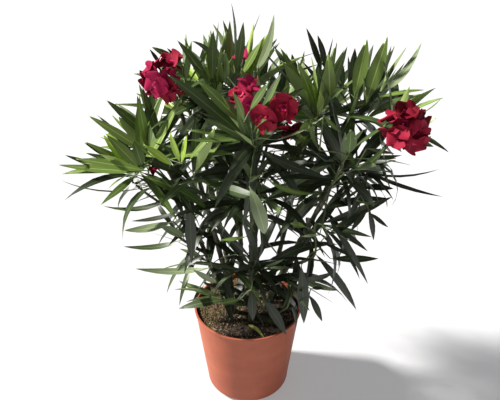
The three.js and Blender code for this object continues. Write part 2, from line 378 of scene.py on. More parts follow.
def pot_finish():
    """Moulded clay-coloured plastic: faint flow marks, dusty streaks and a scuffed, chalky bloom."""
    finish = new_finish("pot_clay_plastic", (0.56, 0.2, 0.115), 0.55, Specular_IOR_Level=0.22)
    flow = mottle(finish, 9, (1, 1, 2.4), 5.0)
    streaks = mottle(finish, 46, (1, 1, 0.1), 4.0)
    dust = mottle(finish, 130, detail=6.0, roughness=0.75)
    clay = ramp(finish, flow, [(0.3, (0.35, 0.090, 0.047)), (0.7, (0.45, 0.124, 0.066))])
    streaked = ramp(finish, streaks, [(0.5, 0.0), (0.8, 0.3)])
    worn = blended(finish, streaked, clay, (0.50, 0.20, 0.135, 1))
    specked = ramp(finish, dust, [(0.56, 0.0), (0.8, 0.35)])
    dusty = blended(finish, specked, worn, (0.28, 0.10, 0.065, 1))
    to_shader(finish, "Base Color", dusty)
    to_shader(finish, "Roughness", ramp(finish, streaks, [(0.35, 0.46), (0.75, 0.68)]))
    raised(finish, dust, 0.25 * MM, 0.35)
    return finish


def compost_finish():
    """Dark crumbs, with ochre where moss covers them."""
    finish = new_finish("compost_crumb", (0.05, 0.035, 0.022), 0.95)
    crumbs = mottle(finish, 190, detail=8.0, roughness=0.75)
    patches = mottle(finish, 24, detail=3.0)
    dark = ramp(finish, crumbs, [(0.35, (0.010, 0.007, 0.005)), (0.7, (0.075, 0.05, 0.03))])
    ochre = ramp(finish, crumbs, [(0.35, (0.040, 0.025, 0.010)), (0.7, (0.20, 0.135, 0.060))])
    moss = wire(finish, "ShaderNodeAttribute", attribute_name="moss").outputs["Fac"]
    mossy = wire(finish, "ShaderNodeMath", {0: moss, 1: patches}, operation="MULTIPLY").outputs[0]
    where = ramp(finish, mossy, [(0.25, 0.0), (0.5, 1.0)])
    to_shader(finish, "Base Color", blended(finish, where, dark, ochre))
    raised(finish, crumbs, 2.5 * MM, 1.0)
    return finish


def scrap_finish(name, dark, light):
    finish = new_finish(name, light, 0.9)
    grain = mottle(finish, 160, detail=5.0)
    to_shader(finish, "Base Color", ramp(finish, grain, [(0.35, dark), (0.68, light)]))
    raised(finish, grain, 0.5 * MM, 0.7)
    return finish


# ---- blades: leaves, petals, sepals and buds -------------------------------------------------------
@dataclass
class Blade:
    """One leaf, petal, sepal or bud, as it leaves its shoot."""

    root: Vector
    along: Vector  # the way it sets out
    face: Vector  # the way its upper side looks
    span: tuple  # length, half width, half thickness
    curl: tuple  # bend away from its face, sway sideways and twist, in radians over its length
    shape: tuple  # how far its sides rise, how far its edges ripple, and where the ripple starts
    tone: int


def blade_points(blades):
    """One point for each blade, which carries the blade's measures."""
    mesh = bpy.data.meshes.new("blade_points")
    mesh.from_pydata([blade.root for blade in blades], [], [])
    for name in ("along", "face", "span", "curl", "shape"):
        layer = mesh.attributes.new(name, "FLOAT_VECTOR", "POINT")
        layer.data.foreach_set("vector", [n for blade in blades for n in getattr(blade, name)])
    tones = mesh.attributes.new("tone", "INT", "POINT")
    tones.data.foreach_set("value", [blade.tone for blade in blades])
    return mesh


def blade_template(name, stations, ring, parts, margins=()):
    """A closed blade one unit long, in its own measures.

    stations are (along, half width, half thickness), ring is the section's corners as (across,
    through), parts says which part of the blade each side of the ring is, and margins are the
    corners where its upper and under sides meet in an edge."""
    around = len(ring)
    corners = [(x, y * w, z * t) for x, w, t in stations[:-1] for y, z in ring]
    corners.append((stations[-1][0], 0, 0))
    bands = len(stations) - 2
    faces = [tuple(range(around))]
    kinds = [parts[0]]
    for band in range(bands):
        for side in range(around):
            a = band * around + side
            b = band * around + (side + 1) % around
            faces.append((a, b, b + around, a + around))
            kinds.append(parts[side])
    last = bands * around
    for side in range(around):
        faces.append((last + side, last + (side + 1) % around, len(corners) - 1))
        kinds.append(parts[side])
    mesh = bpy.data.meshes.new(name)
    mesh.from_pydata(corners, [], faces)
    mesh.attributes.new("part", "INT", "FACE").data.foreach_set("value", kinds)
    flat = [n for corner in corners for n in corner]
    mesh.attributes.new("local", "FLOAT_VECTOR", "POINT").data.foreach_set("vector", flat)
    keen = {(band * around + m, (band + 1) * around + m) for band in range(bands) for m in margins}
    sharp = [tuple(sorted(edge.vertices)) in keen for edge in mesh.edges]
    mesh.attributes.new("sharp_edge", "BOOLEAN", "EDGE").data.foreach_set("value", sharp)
    shell = bmesh.new()
    shell.from_mesh(mesh)
    bmesh.ops.recalc_face_normals(shell, faces=shell.faces)
    shell.to_mesh(mesh)
    shell.free()
    return linked(name, mesh)


def leaf_template():
    """A narrow leaf: a short stalk, a long willow-like blade and a fine point."""
    stations = [
        (0.0, 0.075, 3.0), (0.05, 0.09, 2.8), (0.14, 0.42, 1.9), (0.27, 0.78, 1.4), (0.42, 0.98, 1.1),
        (0.57, 0.97, 1.0), (0.72, 0.76, 0.9), (0.86, 0.43, 0.8), (0.95, 0.17, 0.6), (1.0, 0.0, 0.0),
    ]
    rib = 0.075
    ring = [(-1, 0), (-rib, 1), (rib, 1), (1, 0), (rib, -1), (-rib, -1)]
    return blade_template("leaf_blade", stations, ring, (0, 2, 0, 1, 2, 1), margins=(0, 3))


def petal_template():
    """A broad petal: narrow at the throat and widest near its blunt end."""
    stations = [
        (0.0, 0.26, 1.4), (0.18, 0.48, 1.2), (0.38, 0.80, 1.0), (0.58, 0.98, 1.0), (0.76, 1.0, 0.9),
        (0.89, 0.84, 0.8), (0.97, 0.52, 0.6), (1.0, 0.0, 0.0),
    ]
    ring = [(-1, 0), (-0.5, 1), (0, 1), (0.5, 1), (1, 0), (0.5, -1), (0, -1), (-0.5, -1)]
    return blade_template("petal_blade", stations, ring, (0, 0, 0, 0, 1, 1, 1, 1), margins=(0, 4))


def round_template(name, outline, sides):
    """A round blade with so many sides, from its radius at each place along it."""
    turns = [math.tau * i / sides for i in range(sides)]
    ring = [(math.cos(turn), math.sin(turn)) for turn in turns]
    return blade_template(name, [(x, radius, radius) for x, radius in outline], ring, (0,) * sides)


def bud_template():
    """A pointed spindle, for unopened buds."""
    outline = [(0.0, 0.35), (0.15, 0.62), (0.38, 0.95), (0.58, 1.0), (0.78, 0.72), (0.92, 0.34), (1.0, 0.0)]
    return round_template("bud_spindle", outline, 7)


def throat_template():
    """A slender funnel that opens towards its mouth, for the throat of a flower."""
    outline = [(0.0, 0.3), (0.35, 0.36), (0.6, 0.55), (0.85, 0.86), (1.0, 1.0), (0.96, 0.0)]
    return round_template("flower_throat", outline, 9)


def blade_tree(name, finishes, ripples):
    """Sets a blade on every point, bends it along an arc, and deals out its colours.

    ripples is how fast the waves of its edges follow each other, in radians over its length."""
    tree = Tree(name, Template="Object")
    template = tree.add("GeometryNodeObjectInfo", {"Object": tree.given("Template")}, out="Geometry")
    feeds = {"Points": tree.given("Geometry"), "Instance": template}
    blades = tree.add("GeometryNodeRealizeInstances",
                      {"Geometry": tree.add("GeometryNodeInstanceOnPoints", feeds)})
    local = tree.attribute("local", "FLOAT_VECTOR")
    x, y, z = tree.split(local)
    length, width, thickness = tree.split(tree.attribute("span", "FLOAT_VECTOR"))
    bend, sway, twist = tree.split(tree.attribute("curl", "FLOAT_VECTOR"))
    fold, ripple, start = tree.split(tree.attribute("shape", "FLOAT_VECTOR"))
    along = tree.attribute("along", "FLOAT_VECTOR")
    face = tree.attribute("face", "FLOAT_VECTOR")
    side = face.cross(along)
    angle = bend * x
    forward = length * angle.sin() / bend
    away = length * (angle.cos() - 1.0) / bend
    root = tree.add("GeometryNodeInputPosition") - local
    middle = root + along * forward + face * away + side * (sway * length * x * x)
    lifted = face * angle.cos() + along * angle.sin()
    turn = twist * x
    across = side * turn.cos() + lifted * turn.sin()
    through = lifted * turn.cos() - side * turn.sin()
    rise = y.size() * width * fold + z * thickness
    wave = (x * ripples + start).sin() * y * width * ripple
    place = middle + across * (y * width) + through * (rise + wave)
    shaped = tree.add("GeometryNodeSetPosition", {"Geometry": blades, "Position": place})
    shaped = tree.add("GeometryNodeSetShadeSmooth", {"Geometry": shaped, "Shade Smooth": True})
    tone = tree.attribute("tone", "INT")
    part = tree.attribute("part", "INT")
    for number, shades in enumerate(finishes):
        for kind, finish in enumerate(shades):
            here = tone.equals(number)
            both = {0: here, 1: part.equals(kind)}
            chosen = tree.add("FunctionNodeBooleanMath", both, operation="AND")
            feeds = {"Geometry": shaped, "Selection": chosen, "Material": finish}
            shaped = tree.add("GeometryNodeSetMaterial", feeds)
    return tree.finish(shaped)


# ---- masses and limbs, read from the frame ---------------------------------------------------------
@dataclass
class Mass:
    name: str
    node: str
    slot: str
    centre: Vector
    half: Vector

    def place(self, x, y, z):
        """A point in the mass's own measures: -1 to 1 along each of its half sizes."""
        return self.centre + Vector((x * self.half.x, y * self.half.y, z * self.half.z))

    def away(self, point):
        """How far out a point lies, where 1 is the mass's rounded surface."""
        gap = point - self.centre
        return Vector((gap.x / self.half.x, gap.y / self.half.y, gap.z / self.half.z)).length


@dataclass
class Limb:
    name: str
    points: list
    radii: list
    mass: Mass

    def heading(self):
        """The way the limb points at its tip."""
        return (self.points[-1] - self.points[-3]).normalized()


def read_masses():
    """The masses of foliage, by their names without "leaves_"."""
    slots = {part["node"]: part["material_slot"] for part in frame["record"]["subparts"]}
    masses = {}
    for node in sorted(frame["nodes"]):
        if node.startswith("leaves_"):
            low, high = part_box(node)
            name = node.removeprefix("leaves_")
            masses[name] = Mass(name, node, slots[node], (low + high) / 2, (high - low) / 2)
    return masses


def ring_cut(triangles, point, axis):
    """The middle and mean radius of the ring where a plane cuts a limb."""
    marks = []
    for triangle in triangles:
        heights = [(corner - point).dot(axis) for corner in triangle]
        for i in range(3):
            a, b = heights[i], heights[(i + 1) % 3]
            if (a < 0) != (b < 0):
                marks.append(triangle[i].lerp(triangle[(i + 1) % 3], a / (a - b)))
    if not marks:
        return None
    middle = sum(marks, Vector()) / len(marks)
    return middle, sum((mark - middle).length for mark in marks) / len(marks)


SLICES = 20
SLICE_INSET = 0.035  # share of a limb's length left uncut at each end


def centreline(node):
    """The points and radii up the middle of a limb's solid, lower end first."""
    mesh = frame["nodes"][node].data
    corners = [vertex.co.copy() for vertex in mesh.vertices]
    triangles = [[corners[i] for i in face.vertices] for face in mesh.polygons]
    middle = sum(corners, Vector()) / len(corners)
    one = max(corners, key=lambda corner: (corner - middle).length)
    other = max(corners, key=lambda corner: (corner - one).length)
    low, high = sorted((one, other), key=lambda corner: corner.z)
    axis = (high - low).normalized()
    rings = []
    for i in range(SLICES + 1):
        share = SLICE_INSET + (1 - 2 * SLICE_INSET) * i / SLICES
        ring = ring_cut(triangles, low.lerp(high, share), axis)
        if ring:
            rings.append(ring)
    return [ring[0] for ring in rings], [ring[1] for ring in rings]


# A stem's foot: how deep it is buried, the heights over the compost at which it is shaped, how much
# wider it is at the bottom, the height and steepness of that flare, and where the stem itself begins.
FOOT = {
    "buried": 0.008, "rises": (0.0, 0.005, 0.011), "flare": 0.55, "height": 0.016, "steepness": 2.2,
    "top": 0.02,
}
BOUGH_SWELL = 1.15  # how much wider a bough is where it leaves its stem


def read_stem(node, masses):
    """A stem from its flared foot in the compost to the mass that it ends in."""
    points, radii = centreline(node)
    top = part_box("compost")[1].z
    foot_radius = radii[1]
    slope = (points[1] - points[0]) / max(points[1].z - points[0].z, 1e-4)
    feet = []
    for rise in (-FOOT["buried"], *FOOT["rises"]):
        place = points[0] + slope * (top + rise - points[0].z)
        flare = 1 + FOOT["flare"] * math.exp(-max(rise, 0) / FOOT["height"] * FOOT["steepness"])
        feet.append((place, foot_radius * flare))
    kept = [(p, r) for p, r in zip(points, radii) if p.z > top + FOOT["top"]]
    joined = feet + kept
    tip = joined[-1][0]
    mass = min(masses.values(), key=lambda m: m.away(tip))
    return Limb(node, [p for p, r in joined], [r for p, r in joined], mass)


def nearest_on(limbs, point):
    """The closest point on any limb's centreline."""
    best = None
    for limb in limbs:
        for a, b in zip(limb.points, limb.points[1:]):
            run = b - a
            share = max(0.0, min(1.0, (point - a).dot(run) / run.length_squared))
            here = a + run * share
            if best is None or (here - point).length < (best - point).length:
                best = here
    return best


def read_bough(node, masses, stems):
    """A bough from the stem that carries it to the mass of its own name."""
    mass = masses[node.removeprefix("bough_")]
    points, radii = centreline(node)
    if (points[0] - mass.centre).length < (points[-1] - mass.centre).length:
        points.reverse()
        radii.reverse()
    points.insert(0, nearest_on(stems, points[0]))
    radii.insert(0, radii[0] * BOUGH_SWELL)
    return Limb(node, points, radii, mass)


def read_limbs(masses):
    """The stems and the boughs, each in the order of their names."""
    names = sorted(frame["nodes"])
    stems = [read_stem(n, masses) for n in names if n.startswith("stem_")]
    boughs = [read_bough(n, masses, stems) for n in names if n.startswith("bough_")]
    return stems, boughs


# ---- stems, boughs and shoots as scarred tubes -----------------------------------------------------
SCAR_SHARPNESS = 10.0
GRAIN = {"stretch": (1.0, 1.0, 0.2), "scale": 320.0, "detail": 3.0}


def limb_tree(name, finish):
    """A tube along every line, with swollen leaf scars and a lengthwise grain."""
    tree = Tree(name, Step="Float", Sides="Int", Scar_spacing="Float", Scar_swell="Float", Grain="Float")
    lines = tree.add("GeometryNodeMeshToCurve", {"Mesh": tree.given("Geometry")})
    lines = tree.add("GeometryNodeCurveSplineType", {"Curve": lines}, spline_type="CATMULL_ROM")
    feeds = {"Curve": lines, "Length": tree.given("Step")}
    lines = tree.add("GeometryNodeResampleCurve", feeds, mode="LENGTH")
    length = tree.add("GeometryNodeSplineParameter", out="Length")
    turns = (length * math.tau / tree.given("Scar_spacing")).cos()
    peak = (turns * 0.5 + 0.5).worked("POWER", SCAR_SHARPNESS)
    swell = peak * tree.given("Scar_swell") + 1.0
    girth = tree.attribute("radius") * swell
    feeds = {"Resolution": tree.given("Sides"), "Radius": 1.0}
    section = tree.add("GeometryNodeCurvePrimitiveCircle", feeds)
    feeds = {"Curve": lines, "Profile Curve": section, "Scale": girth, "Fill Caps": True}
    tube = tree.add("GeometryNodeCurveToMesh", feeds)
    place = tree.add("GeometryNodeInputPosition") * GRAIN["stretch"]
    feeds = {"Vector": place, "Scale": GRAIN["scale"], "Detail": GRAIN["detail"]}
    grain = tree.add("ShaderNodeTexNoise", feeds) - 0.5
    push = tree.add("GeometryNodeInputNormal") * (grain * tree.given("Grain"))
    tube = tree.add("GeometryNodeSetPosition", {"Geometry": tube, "Offset": push})
    tube = tree.add("GeometryNodeRealizeInstances", {"Geometry": tube})
    tube = tree.add("GeometryNodeSetShadeSmooth", {"Geometry": tube, "Shade Smooth": True})
    tube = tree.add("GeometryNodeSetMaterial", {"Geometry": tube, "Material": finish})
    return tree.finish(tube)


def lines_mesh(paths):
    """Edges along paths of (points, radii), with the radius at every point."""
    points, edges, radii = [], [], []
    for path, girths in paths:
        first = len(points)
        points.extend(path)
        radii.extend(girths)
        edges.extend((i, i + 1) for i in range(first, len(points) - 1))
    mesh = bpy.data.meshes.new("limb_lines")
    mesh.from_pydata(points, edges, [])
    mesh.attributes.new("radius", "FLOAT", "POINT").data.foreach_set("value", radii)
    return mesh


# ---- growth ----------------------------------------------------------------------------------------
WHORL = 3  # leaves in a whorl
LEAF = {
    "shortest": 0.122,  # the newest leaves at a shoot's tip
    "longest": 0.175,
    "grown_at": 0.3,  # share of the shoot's leafy part by which leaves reach full length
    "growth_curve": 0.7,
    "narrow": 0.0032,  # half width is this and the habit's share of the length
    "thickness": 0.00035,
    "closed": math.radians(12),  # angle from the shoot at its tip
    "open_curve": 0.8,  # how that angle grows towards the habit's, down the shoot
    "astray": 0.16,  # how unevenly a whorl's leaves stand round the shoot, and from it
    "lean_astray": 0.13,
    "new_until": 0.12,  # up to this age a leaf is a tone younger than its spray, and from these ages on a tone darker each: older, and painted shade low on a shoot
    "darker_from": (0.6, 0.8),  # and from these ages on a tone older each
    "to_light": 0.35,  # how far a leaf's upper side turns up to the light
    "off_axis": 0.0015,  # how far from a shoot's middle a leaf starts
    "vigour": (0.8, 1.12),  # the least and the most of a whorl's usual length
    "breadth": (0.86, 1.12),
    "sway": 0.4,  # share of its unevenness that bends a leaf sideways
    "twist": 0.3,
    "fold": (0.1, 0.34),
    "ripple": (0.02, 0.09),
}
LONE = {"twist": 0.2, "fold": (0.1, 0.25), "ripple": 0.04}

# How each kind of foliage grows: the room between whorls, how broad its leaves are for their length,
# how far its oldest leaves open, and how much leaves droop and how unevenly.
HABIT = {
    "leaf_young": {"room": 0.013, "slender": 0.044, "open": math.radians(74), "droop": 0.12, "uneven": 0.2},
    "leaf_mature": {"room": 0.014, "slender": 0.042, "open": math.radians(80), "droop": 0.35, "uneven": 0.26},
    "leaf_old": {"room": 0.019, "slender": 0.034, "open": math.radians(94), "droop": 0.95, "uneven": 0.4},
}
SHOOT = {
    "spread": 0.34,  # how far apart the tips of a mass's shoots are, in the mass's own measures
    "fan": 0.55,  # how far shoots lean away from each other at their tips
    "set_out": 0.4,  # how far a shoot turns to its mass's way where it leaves the limb
    "tip_radius": 0.0015,
    "base_radius": 0.0028,
    "taken_up": 0.85,  # share of the limb's radius that a shoot may have
    "steps": 8,
    "jitter": 0.4,  # how unevenly a mass's shoots are turned round its lean
    "fan_share": (0.3, 1.0),
    "tip_room": 0.35,  # share of the usual room between the first two whorls, and what is added
    "more_room": 0.9,  # to it over the next whorls
    "full_room_at": 3,
    "room_share": (0.85, 1.2),
}
TIP_REACH = 1.04  # the last of a leaf is too thin to see, so it reaches past its measured tip
TWIG = {"shortest": 0.003, "lift": 0.5, "steps": 5, "foot": 0.0016, "tip": 0.0008}
POT_CLEARANCE = 0.012  # the least height of a leaf's tip over the pot's rim
TRIED_LENGTHS = (1.0, 0.9, 0.8, 0.7, 0.62)  # how far a leaf may shrink to stay within reach
FELT_LENGTH = 0.97  # share of a leaf's length that has to stay within reach
CROWN_EDGE = 1.2  # how far out of the masses a leaf may reach, in their own measures
PROUD = Vector((0.02, 0.02, 0.03))  # how far past the frame's box a leaf's tip may stand


# Where the shoots of a mass gather, in its own measures, the way they point, how many they are, how
# many whorls each has, and the tones of its sprays, which are darker low and inside the crown,
# partly as painted shade.
HEADS = {
    "left_tip": ((0.55, 0.0, 0.15), (-0.75, -0.1, 0.75), 3, 5, (FRESH, FRESH, MID)),
    "left_head": ((0.25, 0.0, -0.65), (-0.65, 0.1, 0.75), 2, 4, (MID, FRESH)),
    "left_front": ((0.1, 0.1, -0.3), (0.1, -0.1, 1.0), 1, 4, (MID,)),
    "left_bloom": ((0.2, 0.3, -0.2), (-0.3, 0.2, 0.9), 1, 5, (DEEP,)),
    "top_left": ((0.0, -0.1, -0.55), (-0.15, 0.0, 1.0), 3, 4, (MID, FRESH, MID)),
    "top_centre": ((-0.3, -0.1, -0.7), (0.1, 0.0, 1.0), 2, 4, (FRESH, MID)),
    "centre_bloom": ((-0.1, -0.2, -0.3), (-0.3, -0.3, 0.8), 3, 5, (MID, DEEP, DEEP)),
    "centre_back": ((0.2, -0.2, -0.75), (0.0, 0.0, 1.0), 2, 6, (DEEP, MID)),
    "right_top": ((0.25, 0.0, -0.7), (-0.2, 0.0, 1.0), 3, 4, (MID, MID, FRESH)),
    "right_head": ((0.0, 0.15, -0.85), (0.3, 0.0, 1.0), 3, 4, (MID, DEEP, DEEP)),
    "right_bloom": ((-0.3, 0.5, -0.1), (0.5, 0.3, 0.8), 1, 4, (MID, DEEP)),
    "right_front": ((0.2, 0.3, -0.1), (0.1, -0.5, 0.6), 3, 5, (DARK, DARK, DEEP)),
    "right_arm": ((-0.75, 0.0, 0.25), (1.0, -0.1, 0.12), 1, 4, (DARK, DEEP)),
    "right_skirt": ((-0.4, 0.1, 0.5), (0.7, -0.3, -0.25), 1, 4, (DARK, DARK)),
    "right_foot": ((-0.35, 0.2, 0.6), (0.5, -0.4, -0.35), 2, 3, (DARK, DARK)),
    "left_skirt": ((0.8, 0.2, 0.3), (-1.0, 0.1, 0.1), 1, 4, (DARK, DEEP)),
    "left_foot": ((0.6, 0.05, 0.4), (-1.0, -0.1, 0.0), 1, 4, (DEEP, DARK)),
    "left_low": ((0.35, 0.3, 0.15), (-0.7, -0.4, 0.15), 1, 2, (DEEP, DEEP)),
    "inner_front": ((0.1, 0.15, 0.25), (0.0, -0.5, 0.4), 3, 5, (DARK, DEEP, DARK)),
    "inner_low": ((-0.1, 0.0, 0.1), (0.0, -0.4, 0.5), 3, 5, (DARK, DARK, DARK)),
    "inner_back": ((0.0, 0.3, 0.2), (0.0, 0.8, 0.6), 3, 5, (DEEP, DARK, DEEP)),
    "back_top": ((0.0, 0.1, -0.9), (0.0, 0.9, 0.6), 5, 6, (FRESH, MID, MID)),
    "back_left": ((0.0, 0.0, -0.5), (-0.4, 0.8, 0.55), 4, 6, (MID, FRESH, DEEP)),
    "back_right": ((0.0, 0.1, -0.85), (0.4, 0.8, 0.5), 4, 6, (MID, DEEP, FRESH)),
    "back_skirt": ((0.0, 0.1, 0.1), (-0.4, 0.9, 0.2), 3, 6, (DEEP, DARK, MID)),
    "back_low": ((0.0, 0.1, 0.0), (0.4, 0.9, 0.1), 3, 6, (DEEP, DARK, DEEP)),
}

